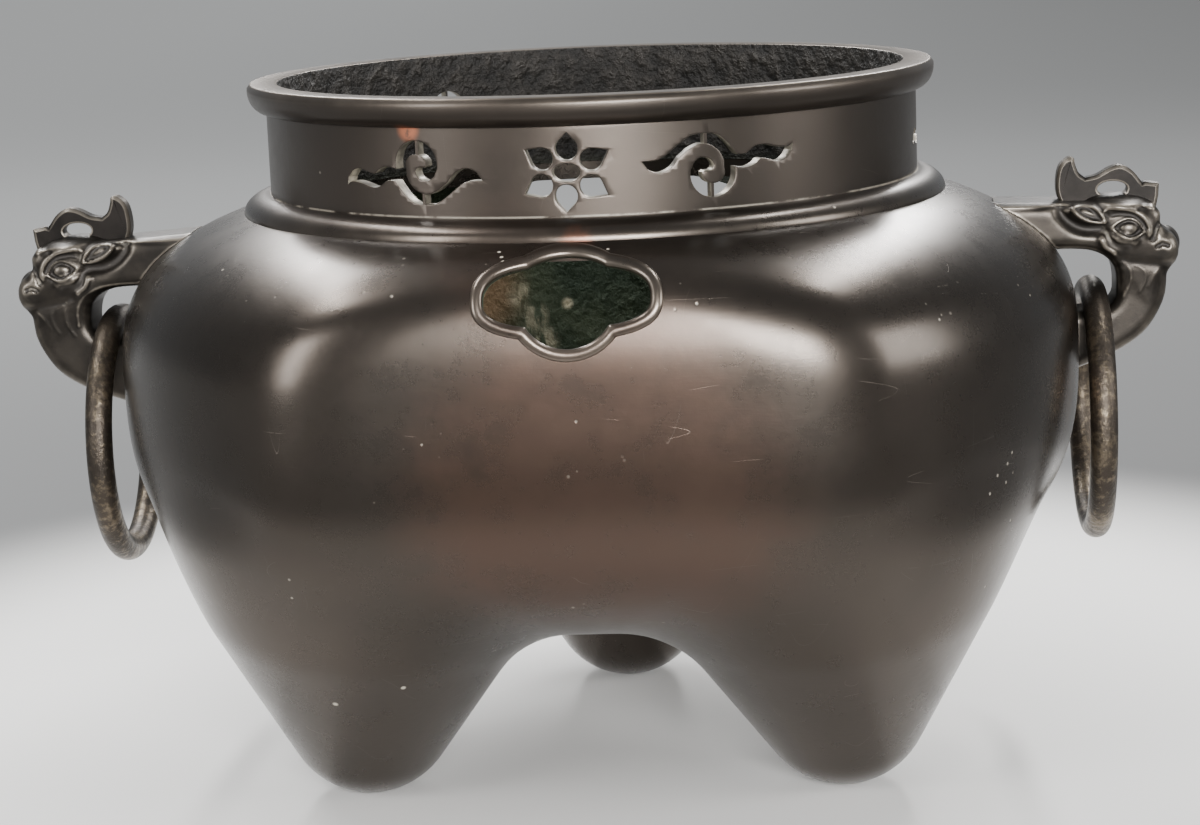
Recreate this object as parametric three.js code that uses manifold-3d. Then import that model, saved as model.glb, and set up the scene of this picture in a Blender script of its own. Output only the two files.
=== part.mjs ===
// Bronze brazier: a cast pot on three hollow pouch legs, with an openwork neck, a four-lobed draught
// opening and two beast-head brackets that each hold a loose ring. Millimetres, +Z up, front towards -Y.
// Before the last step, the vessel's axis is the line x = 0, y = 0 and the feet stand at z = 0.

import * as THREE from 'three';
import { mergeVertices } from 'three/addons/utils/BufferGeometryUtils.js';
import Module from 'manifold-3d';

const wasm = await Module();
wasm.setup();

// Gap between pieces that touch.
const seamGap = 0.3;

// Pot: a flattened bowl, superelliptic in section, with a flatter face between each pair of legs.
const potRadius = 213;
const potLevel = 186.8;
const potRise = 81.5;
const potDepth = 117;
const potPower = 2.9;
const faceDistance = 183.4;
const faceLevel = 194;
const faceRise = 108;
const faceDepth = 124.6;
const facePower = 2.78;
const faceBlend = 14;
const bodyWall = 4.5;
const footWall = 10;

// Neck and rolled rim.
const neckRadius = 143.5;
const neckWall = 5.2;
const neckFootLevel = potLevel + 76.5;
const neckHeight = 36.2;
const neckTopLevel = neckFootLevel + neckHeight;
const rimHeight = 12.3;
const rimOverhang = 8;
const rimEdgeInset = 1.3;
const rimEdgeDrop = 3.2;
const mouldingWidth = 12.2;
const mouldingHeight = 8.1;
const neckRoot = 14;

// Legs: pouches that widen upwards into the pot.
const footCircle = 120.3;
const footRadius = 38.3;
const legTopCircle = 122.1;
const legTopLevel = 122.2;
const legTopRadius = 81.3;
const legTopSquash = 1.46;
const legBlend = 22.4;
const hollowBlend = 8;
const frontLegTurn = 60;
const frontLegTopTurn = 52.9;
const footPadRadius = 9;
const footPadHeight = 3;

// Four-lobed opening in the front face, cut square to the wall there, and the raised band around it.
const frontLean = 20;
const lobeLevel = potLevel + 48.7;
const lobeSideReach = 33;
const lobeSideRise = 12.5;
const lobeSideDrop = 11;
const lobeTopReach = 24;
const lobeTopRise = 15.4;
const lobeBottomReach = 19.4;
const lobeBottomDrop = 19.2;
const bandWidth = 4.8;
const bandTopWidth = 2.6;
const bandHeight = 2.2;

// Oval opening in the back of the pot, above the back leg, also cut square to the wall.
const rearLean = 33;
const rearReach = 72;
const rearRise = 30;
const rearAside = 3;
const rearLevel = potLevel + 44.3;

// Openwork of the neck: three groups, each a flower between two clouds.
const motifGroups = 3;
const openworkLevel = neckFootLevel + neckHeight / 2;
const flowerLevel = openworkLevel - 0.4;
const flowerTurn = -0.3;
const flowerRoll = 2;
const flowerHeartWidth = 11.2;
const flowerHeartHeight = 7.5;
const petalRadius = 4.6;
const uprightPetal = { distance: 9.4, tip: 16 };
const sidePetal = { distance: 11.3, tip: 18.9 };
const sidePetalRise = 28;
const rightCloudTurn = 23.6;
const leftCloudTurn = -25.9;
const cloudLevel = openworkLevel - 3.5;
const cloudDisc = 9.8;
const cloudPivot = 0.34 * cloudDisc;
const cloudDiscDrawn = 9.8;
const cloudTie = 1.2;

// Rings and the seat that each hangs on.
const ringWire = 12;
const ringRadius = 53;
const ringPlane = potRadius + 6.5;
const ringTopLevel = potLevel + 19.2;
const seatClearance = 0.4;
const seatEnd = 10;

// Beast heads. Their outlines are drawn in the X-Z plane from the ring's upper wire, for a head whose snout
// reaches snoutDrawn beyond the ring, and are brought to snoutReach.
const snoutReach = 37.5;
const snoutDrawn = 37.5;
const neckBarTop = 41.5;
const neckBarBottom = 19.8;
const rootInside = 45;
const snoutDrop = 18.5;
const jawWidth = 28;
const headWidth = 35;
const headBevel = 4;
const crestThickness = 9;
const crestBevel = 1.2;

// How each head is seated: turned nose down about the ring's upper wire, then moved outwards and down. The
// left one sits lower and further out than its fellow. The seats of the rings stay where the rings are.
const rightStance = { turn: 0, out: 0, drop: 0 };
const leftStance = { turn: 2, out: 4.4, drop: 3.8 };

// Facets: turns around the axis, and rows from top to bottom.
const columns = 44;
const outerRows = 28;
const innerColumns = 24;
const innerRows = 17;
const rowCrowding = 2;
const ringSteps = 24;
const wireSides = 8;

// Inner ends and tolerances.
const heart = potLevel + 53.2;
const farAway = potRadius * 1.6;
const cutOverrun = 6;
const wallReach = 5 * cutOverrun;

const degrees = Math.PI / 180;

// Solids: between three.js geometry and manifold-3d.

function solidOf(geometry) {
  const bare = geometry.clone();
  bare.deleteAttribute('normal');
  bare.deleteAttribute('uv');
  const merged = mergeVertices(bare, 1e-4);
  const mesh = new wasm.Mesh({
    numProp: 3,
    vertProperties: new Float32Array(merged.attributes.position.array),
    triVerts: new Uint32Array(merged.index.array),
  });
  return new wasm.Manifold(mesh);
}

function geometryOf(solid) {
  const mesh = solid.getMesh();
  const geometry = new THREE.BufferGeometry();
  geometry.setAttribute('position', new THREE.BufferAttribute(mesh.vertProperties, 3));
  geometry.setIndex(new THREE.BufferAttribute(mesh.triVerts, 1));
  geometry.computeVertexNormals();
  return geometry;
}

function joined(solids) {
  return solids.reduce((whole, piece) => whole.add(piece));
}

// Form of the body, as a function that is negative inside and about the distance in millimetres.

function smoothMax(a, b, blend) {
  const overlap = Math.max(blend - Math.abs(a - b), 0) / blend;
  return Math.max(a, b) + overlap * overlap * blend / 4;
}

function smoothMin(a, b, blend) {
  return -smoothMax(-a, -b, blend);
}

function bowl(reach, height, radius, level, rise, depth, power) {
  const lift = height - level;
  const half = lift > 0 ? rise : depth;
  const share = ((Math.max(reach, 0) / radius) ** power + (Math.abs(lift) / half) ** power) ** (1 / power);
  return Math.hypot(reach, lift) * (1 - 1 / Math.max(share, 1e-6));
}

function roundCone(point, low, high, lowRadius, highRadius) {
  const axis = high.clone().sub(low);
  const length2 = axis.lengthSq();
  const taper = lowRadius - highRadius;
  const slant2 = length2 - taper * taper;
  const offset = point.clone().sub(low);
  const along = offset.dot(axis);
  const beyond = along - length2;
  const aside2 = offset.multiplyScalar(length2).sub(axis.clone().multiplyScalar(along)).lengthSq();
  const along2 = along * along * length2;
  const beyond2 = beyond * beyond * length2;
  const edge = Math.sign(taper) * taper * taper * aside2;
  if (Math.sign(beyond) * slant2 * beyond2 > edge) return Math.sqrt(aside2 + beyond2) / length2 - highRadius;
  if (Math.sign(along) * slant2 * along2 < edge) return Math.sqrt(aside2 + along2) / length2 - lowRadius;
  return (Math.sqrt(aside2 * slant2 / length2) + along * taper) / length2 - lowRadius;
}

function aroundAxis(radius, turn, level) {
  return new THREE.Vector3(radius * Math.sin(turn * degrees), -radius * Math.cos(turn * degrees), level);
}

const legs = [[-frontLegTurn, -frontLegTopTurn], [frontLegTurn, frontLegTopTurn], [180, 180]].map(
  ([footTurn, topTurn]) => ({
    foot: aroundAxis(footCircle, footTurn, footRadius),
    top: aroundAxis(legTopCircle, topTurn, legTopLevel),
  }),
);

function bodyForm(point, blend) {
  let pot = bowl(Math.hypot(point.x, point.y), point.z, potRadius, potLevel, potRise, potDepth, potPower);
  for (const turn of [0, 120, 240]) {
    const reach = point.dot(aroundAxis(1, turn, 0));
    const face = bowl(reach, point.z, faceDistance, faceLevel, faceRise, faceDepth, facePower);
    pot = smoothMax(pot, face, faceBlend);
  }
  const squashed = point.clone();
  if (point.z > legTopLevel) squashed.z = legTopLevel + (point.z - legTopLevel) * legTopSquash;
  const pouches = legs.map((leg) => roundCone(squashed, leg.foot, leg.top, footRadius, legTopRadius));
  return smoothMin(pot, pouches.reduce((a, b) => smoothMin(a, b, blend)), blend);
}

// The point where the form, moved outwards by grow, is met on the way in along one ray.
function surfacePoint(turn, polar, grow, blend = legBlend) {
  const ray = aroundAxis(Math.sin(polar), turn, Math.cos(polar));
  const at = (reach) => ray.clone().multiplyScalar(reach).add(new THREE.Vector3(0, 0, heart));
  let outside = farAway;
  while (outside > 0 && bodyForm(at(outside), blend) > grow) outside -= cutOverrun;
  let inside = outside;
  outside += cutOverrun;
  for (let i = 0; i < 24; i++) {
    const middle = (inside + outside) / 2;
    if (bodyForm(at(middle), blend) > grow) outside = middle;
    else inside = middle;
  }
  return at(inside);
}

// Polar angles that space the rows evenly along the body, as measured down a leg and down a face. They
// crowd towards the feet, whose inner sides lie almost along the rays.
function evenRows(rows) {
  const samples = 240;
  const lengths = [0];
  const before = [0, frontLegTurn].map((turn) => surfacePoint(turn, 0, 0));
  for (let i = 1; i <= samples; i++) {
    const now = [0, frontLegTurn].map((turn) => surfacePoint(turn, Math.PI * i / samples, 0));
    const weight = 1 + rowCrowding * (i / samples) ** 2;
    lengths.push(lengths[i - 1] + weight * (now[0].distanceTo(before[0]) + now[1].distanceTo(before[1])));
    before.splice(0, 2, ...now);
  }
  const angles = [];
  for (let row = 1; row < rows; row++) {
    const wanted = lengths[samples] * row / rows;
    const next = lengths.findIndex((length) => length > wanted);
    const share = (wanted - lengths[next - 1]) / (lengths[next] - lengths[next - 1]);
    angles.push(Math.PI * (next - 1 + share) / samples);
  }
  return angles;
}

// Two triangles of a quad, on its shorter diagonal.
function splitQuad([a, b, c, d], points) {
  const along = points[a].distanceTo(points[c]);
  const across = points[b].distanceTo(points[d]);
  return across < along - seamGap ? [a, b, d, b, c, d] : [a, b, c, a, c, d];
}

// A closed mesh of rows and columns around the body's heart, from a point for each turn and polar angle.
function ballSolid(pointAt, turns, rows) {
  const points = [pointAt(0, 0)];
  const angles = evenRows(rows);
  for (const polar of angles) {
    for (let column = 0; column < turns; column++) points.push(pointAt(360 * column / turns, polar));
  }
  points.push(pointAt(0, Math.PI));
  const last = points.length - 1;
  const triangles = [];
  for (let column = 0; column < turns; column++) {
    const next = (column + 1) % turns;
    triangles.push(0, 1 + column, 1 + next);
    for (let row = 0; row < angles.length - 1; row++) {
      const upper = 1 + row * turns;
      const lower = upper + turns;
      const corners = [upper + column, lower + column, lower + next, upper + next];
      triangles.push(...splitQuad(corners, points));
    }
    triangles.push(last - turns + column, last, last - turns + next);
  }
  const geometry = new THREE.BufferGeometry().setFromPoints(points);
  geometry.setIndex(triangles);
  return solidOf(geometry);
}

function bodySolid(grow) {
  return ballSolid((turn, polar) => surfacePoint(turn, polar, grow), columns, outerRows);
}

// The hollow: the wall grows towards the feet, and the hollow legs meet more sharply than the outside's.
function hollowSolid() {
  const wallAt = (polar) => THREE.MathUtils.lerp(bodyWall, footWall, (polar / Math.PI) ** 3);
  return ballSolid((turn, polar) => surfacePoint(turn, polar, -wallAt(polar), hollowBlend), innerColumns, innerRows);
}

// Turned and swept shapes.

// A profile of radius and level, from the top down, turned around the axis.
function turned(profile, turns) {
  const outline = profile.map(([radius, level]) => new THREE.Vector2(radius, level)).reverse();
  const geometry = new THREE.LatheGeometry(outline, turns);
  geometry.rotateX(Math.PI / 2);
  return solidOf(geometry);
}

function arc(centreX, centreY, radiusX, radiusY, from, to, steps) {
  const points = [];
  for (let i = 0; i <= steps; i++) {
    const angle = (from + (to - from) * i / steps) * degrees;
    points.push([centreX + radiusX * Math.cos(angle), centreY + radiusY * Math.sin(angle)]);
  }
  return points;
}

function curve(points, steps) {
  const spline = new THREE.SplineCurve(points.map(([x, y]) => new THREE.Vector2(x, y)));
  return spline.getSpacedPoints(steps).map((point) => [point.x, point.y]);
}

function shapeOf(points) {
  return new THREE.Shape(points.map(([x, y]) => new THREE.Vector2(x, y)));
}

// A flat outline in X and Z, given depth along Y, from front (the lower y) to back.
function slab(shape, front, back, bevel = 0) {
  const geometry = new THREE.ExtrudeGeometry(shape, {
    depth: back - front - 2 * bevel,
    bevelEnabled: bevel > 0,
    bevelThickness: bevel,
    bevelSize: bevel,
    bevelOffset: -bevel,
    bevelSegments: 1,
    curveSegments: 1,
  });
  geometry.rotateX(Math.PI / 2);
  geometry.translate(0, back - bevel, 0);
  return geometry;
}

// Neck, rim and moulding.

function neckSolid() {
  const rimTop = neckTopLevel + rimHeight;
  const rimRadius = neckRadius + rimOverhang;
  const rimWidest = rimTop - rimEdgeDrop;
  const underside = arc(neckRadius, rimWidest, rimOverhang, rimWidest - neckTopLevel, 0, -90, 4);
  const shoulder = arc(rimRadius - rimEdgeInset, rimWidest, rimEdgeInset, rimEdgeDrop, 90, 0, 2);
  const moulding = arc(neckRadius, neckFootLevel - mouldingHeight, mouldingWidth, mouldingHeight, 90, 0, 3);
  const footRim = neckRadius + mouldingWidth;
  const root = neckFootLevel - mouldingHeight - neckRoot;
  return turned([[0, rimTop], ...shoulder, ...underside.slice(1), ...moulding, [footRim, root], [0, root]], columns);
}

function neckBore() {
  const bore = neckRadius - neckWall;
  const bottom = neckFootLevel - mouldingHeight - neckRoot;
  const top = neckTopLevel + rimHeight + cutOverrun;
  return turned([[0, top], [bore, top], [bore, bottom], [0, bottom]], columns);
}

// Openwork.

function petal(turn, { distance, tip }) {
  const direction = turn * degrees;
  const centre = [distance * Math.cos(direction), distance * Math.sin(direction)];
  const tangent = Math.acos(petalRadius / (tip - distance)) / degrees;
  const round = arc(centre[0], centre[1], petalRadius, petalRadius, turn + tangent, turn + 360 - tangent, 4);
  return [...round, [tip * Math.cos(direction), tip * Math.sin(direction)]];
}

function flower() {
  const side = sidePetalRise;
  return [
    arc(0, 0, flowerHeartWidth / 2, flowerHeartHeight / 2, 0, 315, 7),
    ...[90, 270].map((turn) => petal(turn, uprightPetal)),
    ...[side, 180 - side, 180 + side, 360 - side].map((turn) => petal(turn, sidePetal)),
  ];
}

// A trailing cloud, about the centre of its round head. Its opening is one outline around a metal curl
// that comes in from the left, goes over the top and ends in a round tip. Two thin ties hold the curl.
function cloud() {
  const size = cloudDisc / cloudDiscDrawn;
  const topEdge = curve([[-29.3, 6.1], [-22, 6.8], [-14, 12.4], [-9, 15.4], [-3.3, 16], [1.8, 15.2], [6, 12], [10.6, 6.6]], 8);
  const wavyTop = curve([[10.6, 6.6], [15, 6.8], [19, 9.2], [23.2, 9.6], [28, 8.4], [33.8, 7.6], [36.8, 8.9]], 5);
  const wavyBottom = curve([[36.3, 6.2], [33, 3.1], [29.3, 2.3], [25.6, 3.4], [21.5, 4.1], [18.6, 2.2], [14.9, 1.1], [9.7, 1.8]], 6);
  const roundHead = arc(0, 0, cloudDiscDrawn, cloudDiscDrawn, -4, -188, 7);
  const curlInside = curve([[-8.2, 4.6], [-5.4, 6.4], [-3, 6.2], [-0.9, 5], [0.2, 2.7], [-1, 1.1], [-3.8, 1.1]], 5);
  const curlTip = arc(0.1, -0.1, 5, 4.2, 172, 380, 4);
  const curlOutside = curve([[4.8, 4.6], [3, 8.2], [-0.2, 10.8], [-3.4, 11.9], [-6.5, 11.7], [-10.3, 10]], 3);
  const tailBottom = curve([[-14.5, 6.8], [-16.8, 3.9], [-20, 1.9], [-23.6, 1.3], [-27, 2.8]], 3);
  const upper = [...topEdge, ...wavyTop.slice(1), ...wavyBottom, ...roundHead];
  const curl = [...curlInside, ...curlTip, ...curlOutside, ...tailBottom];
  return [...upper, ...curl].map(([x, y]) => [x * size, y * size]);
}

function tie(x, bottom, top) {
  const half = cloudTie / 2;
  return shapeOf([[x - half, bottom], [x + half, bottom], [x + half, top], [x - half, top]]);
}

// A drawn opening, cut through the neck. It is rolled about a point above its drawn origin.
function motifCutter(shape, turn, level, roll, pivot = 0) {
  const geometry = slab(shape, -neckRadius - cutOverrun, -neckRadius + neckWall + cutOverrun);
  geometry.translate(0, 0, -pivot);
  geometry.rotateY(roll * degrees);
  geometry.translate(0, 0, level + pivot);
  geometry.rotateZ(turn * degrees);
  return solidOf(geometry);
}

function cloudCutter(turn, roll) {
  const cutter = (shape) => motifCutter(shape, turn, cloudLevel, roll, cloudPivot);
  const tieSpots = [[-0.3, 1.12, 1.73], [-0.05, -1.1, -0.39]];
  const ties = tieSpots.map((spot) => tie(...spot.map((share) => share * cloudDisc)));
  return ties.reduce((cut, shape) => cut.subtract(cutter(shape)), cutter(shapeOf(cloud())));
}

function openwork() {
  const cutters = [];
  for (let group = 0; group < motifGroups; group++) {
    const turn = 360 * group / motifGroups;
    const petals = flower().map(shapeOf);
    cutters.push(...petals.map((shape) => motifCutter(shape, turn + flowerTurn, flowerLevel, flowerRoll)));
    cutters.push(cloudCutter(turn + rightCloudTurn, 0), cloudCutter(turn + leftCloudTurn, 180));
  }
  return joined(cutters);
}

// Openings of the pot.

// Four-lobed opening: at each angle, the wider of a lying and a standing oval.
function fourLobes(grow, growTop) {
  const steps = 36;
  const ovalReach = (angle, width, height) => {
    return 1 / Math.hypot(Math.cos(angle) / width, Math.sin(angle) / height);
  };
  const points = [];
  for (let i = 0; i < steps; i++) {
    const angle = 2 * Math.PI * (i + 0.5) / steps;
    const above = angle < Math.PI;
    const add = above ? growTop : grow;
    const lying = ovalReach(angle, lobeSideReach + grow, (above ? lobeSideRise : lobeSideDrop) + add);
    const standing = above
      ? ovalReach(angle, lobeTopReach + grow, lobeTopRise + add)
      : ovalReach(angle, lobeBottomReach + grow, lobeBottomDrop + add);
    const reach = Math.max(lying, standing);
    points.push([reach * Math.cos(angle), lobeLevel + reach * Math.sin(angle)]);
  }
  return points;
}

// The point of the front or back surface that is seen at x and z from straight ahead.
function facePoint(x, z, side) {
  let outside = farAway;
  let inside = 0;
  for (let i = 0; i < 24; i++) {
    const middle = (inside + outside) / 2;
    if (bodyForm(new THREE.Vector3(x, side * middle, z), legBlend) > 0) outside = middle;
    else inside = middle;
  }
  return new THREE.Vector3(x, side * inside, z);
}

// A cutter square to the leaning wall of the front (side -1) or the back (side 1). Its outline has heights
// measured up the slope.
function wallCutter(outline, lean, side, centre) {
  const across = centre.y * Math.cos(lean * degrees) + side * centre.z * Math.sin(lean * degrees);
  const geometry = slab(shapeOf(outline), across - wallReach, across + wallReach);
  geometry.rotateX(side * lean * degrees);
  return solidOf(geometry);
}

function frontPrism(grow, growTop) {
  const lean = frontLean * degrees;
  const upSlope = ([x, z]) => [x, facePoint(x, z, -1).y * Math.sin(lean) + z * Math.cos(lean)];
  return wallCutter(fourLobes(grow, growTop).map(upSlope), frontLean, -1, facePoint(0, lobeLevel, -1));
}

function rearPrism() {
  const lean = rearLean * degrees;
  const centre = facePoint(0, rearLevel, 1);
  const level = centre.z * Math.cos(lean) - centre.y * Math.sin(lean);
  return wallCutter(arc(-rearAside, level, rearReach, rearRise, 0, 345, 23), rearLean, 1, centre);
}

// Vessel.

function vesselSolid() {
  const pads = legs.map((leg) => {
    const pad = turned([[0, footPadHeight], [footPadRadius, footPadHeight], [footPadRadius, 0], [0, 0]], 16);
    return pad.translate([leg.foot.x, leg.foot.y, 0]);
  });
  const band = bodySolid(bandHeight).intersect(frontPrism(bandWidth, bandTopWidth));
  const outside = joined([bodySolid(0), neckSolid(), band, ...pads]);
  const hollow = hollowSolid().add(neckBore());
  return outside.subtract(joined([hollow, frontPrism(0, 0), rearPrism(), openwork()]));
}

// Rings.

function ringSolid() {
  const geometry = new THREE.TorusGeometry(ringRadius, ringWire / 2, wireSides, ringSteps);
  geometry.rotateY(Math.PI / 2);
  geometry.translate(ringPlane, 0, ringTopLevel - ringRadius);
  return solidOf(geometry);
}

// Beast heads.

function toHead([x, y]) {
  return [ringPlane + x, ringTopLevel + y];
}

// From the drawing to a head's place, for a stance.
function fromDrawn([x, y], { turn, out, drop }) {
  const drawn = new THREE.Vector2(x, y).multiplyScalar(snoutReach / snoutDrawn);
  const placed = drawn.rotateAround(new THREE.Vector2(), -turn * degrees);
  return toHead([placed.x + out, placed.y - drop]);
}

function headProfile(stance) {
  const half = jawWidth / 2;
  const innerRing = ringRadius - ringWire / 2;
  const seat = ringRadius - Math.sqrt(innerRing ** 2 - half ** 2) + seatClearance;
  const place = (point) => fromDrawn(point, stance);
  const forehead = [[-14.5, neckBarTop], [26.5, neckBarTop - 2.5], [29.1, 35], [29.1, 28]];
  const snout = arc(snoutDrawn - 7, snoutDrop, 7, 9, 70, -60, 4);
  const jaw = curve([[31.7, 6], [31.3, -1], [27.9, -9.5], [22, -18], [12.5, -25], [0.5, -30.5], [-14.5, -36]], 9);
  const saddle = arc(0, 0, seatEnd, seat, -75, 0, 4).map(toHead);
  const hook = curve([[10, 5], [9.1, 11], [5.5, 15.8], [-0.5, 18.8], [-8.5, neckBarBottom]], 5);
  const front = [[-rootInside, neckBarTop], ...forehead, ...snout, ...jaw, [-rootInside, -36]].map(place);
  const back = [[-rootInside, -seat], [0, -seat]].map(toHead);
  const overRing = [...hook, [-rootInside, neckBarBottom]];
  const loweredOnly = { turn: 0, out: 0, drop: stance.drop };
  return shapeOf([...front, ...back, ...saddle, ...overRing.map((point) => fromDrawn(point, loweredOnly))]);
}

// The blank is sawn from its profile, then narrowed towards the jaw and the snout.
function headBlank(stance) {
  const geometry = slab(headProfile(stance), -headWidth / 2, headWidth / 2, headBevel);
  const place = geometry.attributes.position;
  for (let i = 0; i < place.count; i++) {
    const drop = ringTopLevel - stance.drop + snoutDrop - place.getZ(i);
    const width = THREE.MathUtils.lerp(headWidth, jawWidth, THREE.MathUtils.smoothstep(drop, -3.5, snoutDrop));
    place.setY(i, place.getY(i) * width / headWidth);
  }
  return solidOf(geometry);
}

// A rounded lump at a drawn place, of drawn half sizes, tilted in the X-Z plane.
function lump(stance, x, y, z, sizes, tilt = 0) {
  const geometry = new THREE.SphereGeometry(1, 8, 5);
  geometry.scale(...sizes.map((size) => size * snoutReach / snoutDrawn));
  geometry.rotateY((tilt + stance.turn) * degrees);
  const [across, up] = fromDrawn([x, z], stance);
  geometry.translate(across, y, up);
  return solidOf(geometry);
}

function crestSolid(stance) {
  const flame = curve([[-13, 38], [-15.2, 46], [-14.7, 53.5], [-7.9, 59.2], [-6.3, 53.5], [-3.3, 50]], 8);
  const ridge = curve([[-3.3, 50], [2.5, 51.4], [11.5, 54.6], [18.5, 51.6], [22.8, 46]], 6);
  const block = [[23.5, 47.2], [29.5, 46.2], [28.5, 34], [20.5, 34]];
  const shapeAt = (points) => shapeOf(points.map((point) => fromDrawn(point, stance)));
  const half = crestThickness / 2;
  const comb = slab(shapeAt([...flame, ...ridge.slice(1), ...block]), -half, half, crestBevel);
  const eyelet = slab(shapeAt(arc(9.5, 44.6, 6, 3.4, 0, 330, 11)), -crestThickness, crestThickness);
  return solidOf(comb).subtract(solidOf(eyelet));
}

function headSolid(stance) {
  const nose = lump(stance, snoutDrawn - 6, 0, snoutDrop + 1, [8, 11, 9.5]);
  const parts = [headBlank(stance), crestSolid(stance), nose];
  for (const side of [-1, 1]) {
    const flank = side * headWidth / 2;
    parts.push(lump(stance, 15.1, flank, 29, [7, 3.2, 4.2], -8));
    parts.push(lump(stance, 16.5, flank, 34.6, [8.5, 2.4, 2.2], 4));
    parts.push(lump(stance, -2.1, flank, 34.4, [7.6, 3.4, 3.2], 27));
    parts.push(lump(stance, 17.5, side * jawWidth / 2, 14, [11, 4, 6.5], -20));
  }
  return joined(parts);
}

// The same solid on the other side of the vessel.
function mirrored(solid) {
  const geometry = geometryOf(solid);
  geometry.scale(-1, 1, 1);
  const corners = Array.from(geometry.index.array);
  for (let i = 0; i < corners.length; i += 3) corners.splice(i, 3, corners[i], corners[i + 2], corners[i + 1]);
  geometry.setIndex(corners);
  return solidOf(geometry);
}

// Assembly.

const darkBronze = new THREE.MeshStandardMaterial({ color: 0x3b322b, metalness: 0.85, roughness: 0.38 });
const headBronze = new THREE.MeshStandardMaterial({ color: 0x41382f, metalness: 0.85, roughness: 0.36 });
const wornBronze = new THREE.MeshStandardMaterial({ color: 0x4a4136, metalness: 0.85, roughness: 0.48 });

function meshOf(name, solid, material) {
  const mesh = new THREE.Mesh(geometryOf(solid), material);
  mesh.name = name;
  return mesh;
}

const ring = ringSolid();
const bodyWithGap = bodySolid(seamGap);

const brazier = new THREE.Group();
brazier.add(meshOf('vessel', vesselSolid(), darkBronze));
brazier.add(meshOf('left_beast_head', mirrored(headSolid(leftStance)).subtract(bodyWithGap), headBronze));
brazier.add(meshOf('right_beast_head', headSolid(rightStance).subtract(bodyWithGap), headBronze));
brazier.add(meshOf('left_ring', mirrored(ring), wornBronze));
brazier.add(meshOf('right_ring', ring, wornBronze));

// The origin is under the middle of the whole object's box.
const middle = new THREE.Box3().setFromObject(brazier).getCenter(new THREE.Vector3());
brazier.position.set(-middle.x, -middle.y, 0);

export default brazier;
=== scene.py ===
# %% [markdown]
# # A bronze brazier
# This lesson dresses the solids of a cast bronze brazier: a round pot on three pouch legs, an openwork
# neck with a rolled rim, a four-lobed draught opening, and two beast heads that each hold a loose ring.
# The solids give every size and place. The script models the finer surface over them, gives the metal its
# patina, and sets up floor, light and camera.

import math

import bmesh
import bpy
import numpy as np
from mathutils import Matrix, Vector


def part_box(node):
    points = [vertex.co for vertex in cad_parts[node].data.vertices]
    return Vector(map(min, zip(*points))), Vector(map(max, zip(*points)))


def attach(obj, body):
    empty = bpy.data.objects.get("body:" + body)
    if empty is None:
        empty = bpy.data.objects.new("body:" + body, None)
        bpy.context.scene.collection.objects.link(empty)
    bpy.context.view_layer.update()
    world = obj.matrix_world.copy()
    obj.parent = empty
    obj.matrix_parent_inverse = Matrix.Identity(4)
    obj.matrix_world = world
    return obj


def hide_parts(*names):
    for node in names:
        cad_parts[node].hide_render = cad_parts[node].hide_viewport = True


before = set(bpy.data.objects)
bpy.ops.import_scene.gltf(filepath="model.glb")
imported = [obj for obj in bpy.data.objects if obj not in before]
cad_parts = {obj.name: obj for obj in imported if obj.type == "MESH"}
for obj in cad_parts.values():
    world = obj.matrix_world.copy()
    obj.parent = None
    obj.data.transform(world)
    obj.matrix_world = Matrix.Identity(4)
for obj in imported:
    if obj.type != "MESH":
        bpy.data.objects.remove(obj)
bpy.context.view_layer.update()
rings_low, rings_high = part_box("left_ring")[0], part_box("right_ring")[1]
AXIS = Vector(((rings_low.x + rings_high.x) / 2, (rings_low.y + rings_high.y) / 2, 0))

# %% [markdown]
# ## One way to finish every piece
# Each piece is modelled in millimetres about the vessel's own axis, which is the easiest way to think of a
# turned and cast pot. One helper then brings it to metres and to its place, so that the object itself stays
# at the origin, unturned and unscaled.

# %% From a bmesh to a finished piece
MM = 0.001


def piece(name, bm, body, replaced=()):
    bmesh.ops.scale(bm, vec=(MM, MM, MM), verts=bm.verts)
    bmesh.ops.translate(bm, vec=AXIS, verts=bm.verts)
    mesh = bpy.data.meshes.new(name)
    bm.to_mesh(mesh)
    bm.free()
    mesh.shade_smooth()
    made = bpy.data.objects.new(name, mesh)
    bpy.context.collection.objects.link(made)
    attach(made, body)
    if replaced:
        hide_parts(*replaced)
    print(name, len(mesh.polygons), "faces")
    return made


def faces_outwards(bm):
    bmesh.ops.remove_doubles(bm, verts=bm.verts, dist=0.001)
    bmesh.ops.recalc_face_normals(bm, faces=bm.faces)


# %% [markdown]
# ## The body's form
# The body is neither turned nor a plain box: it is a flattened bowl, a little squarer than round in
# section, that melts into three pouches for legs. Between the legs the bowl is flatter. A form like that is
# easy to write as a function that is negative inside the metal and positive outside. Two soft operators
# join the parts: a soft maximum cuts the flats, and a soft minimum fills the fold where a leg begins.

# %% The form as a function
POT = dict(radius=213, level=186.8, rise=81.5, depth=117, power=2.9)
FACE = dict(radius=183.4, level=194, rise=108, depth=124.6, power=2.78)
FACE_BLEND = 14
LEG_BLEND = 22.4
HOLLOW_BLEND = 8
FOOT_CIRCLE, FOOT_RADIUS = 120.3, 38.3
LEG_TOP_CIRCLE, LEG_TOP_LEVEL, LEG_TOP_RADIUS, LEG_TOP_SQUASH = 122.1, 122.2, 81.3, 1.46
LEG_TURNS = ((-60, -52.9), (60, 52.9), (180, 180))


def around(radius, turn, level):
    angle = np.radians(turn)
    return np.array([radius * np.sin(angle), -radius * np.cos(angle), level])


def soft_max(a, b, blend):
    overlap = np.maximum(blend - np.abs(a - b), 0) / blend
    return np.maximum(a, b) + overlap**2 * blend / 4


def soft_min(a, b, blend):
    return -soft_max(-a, -b, blend)


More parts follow.
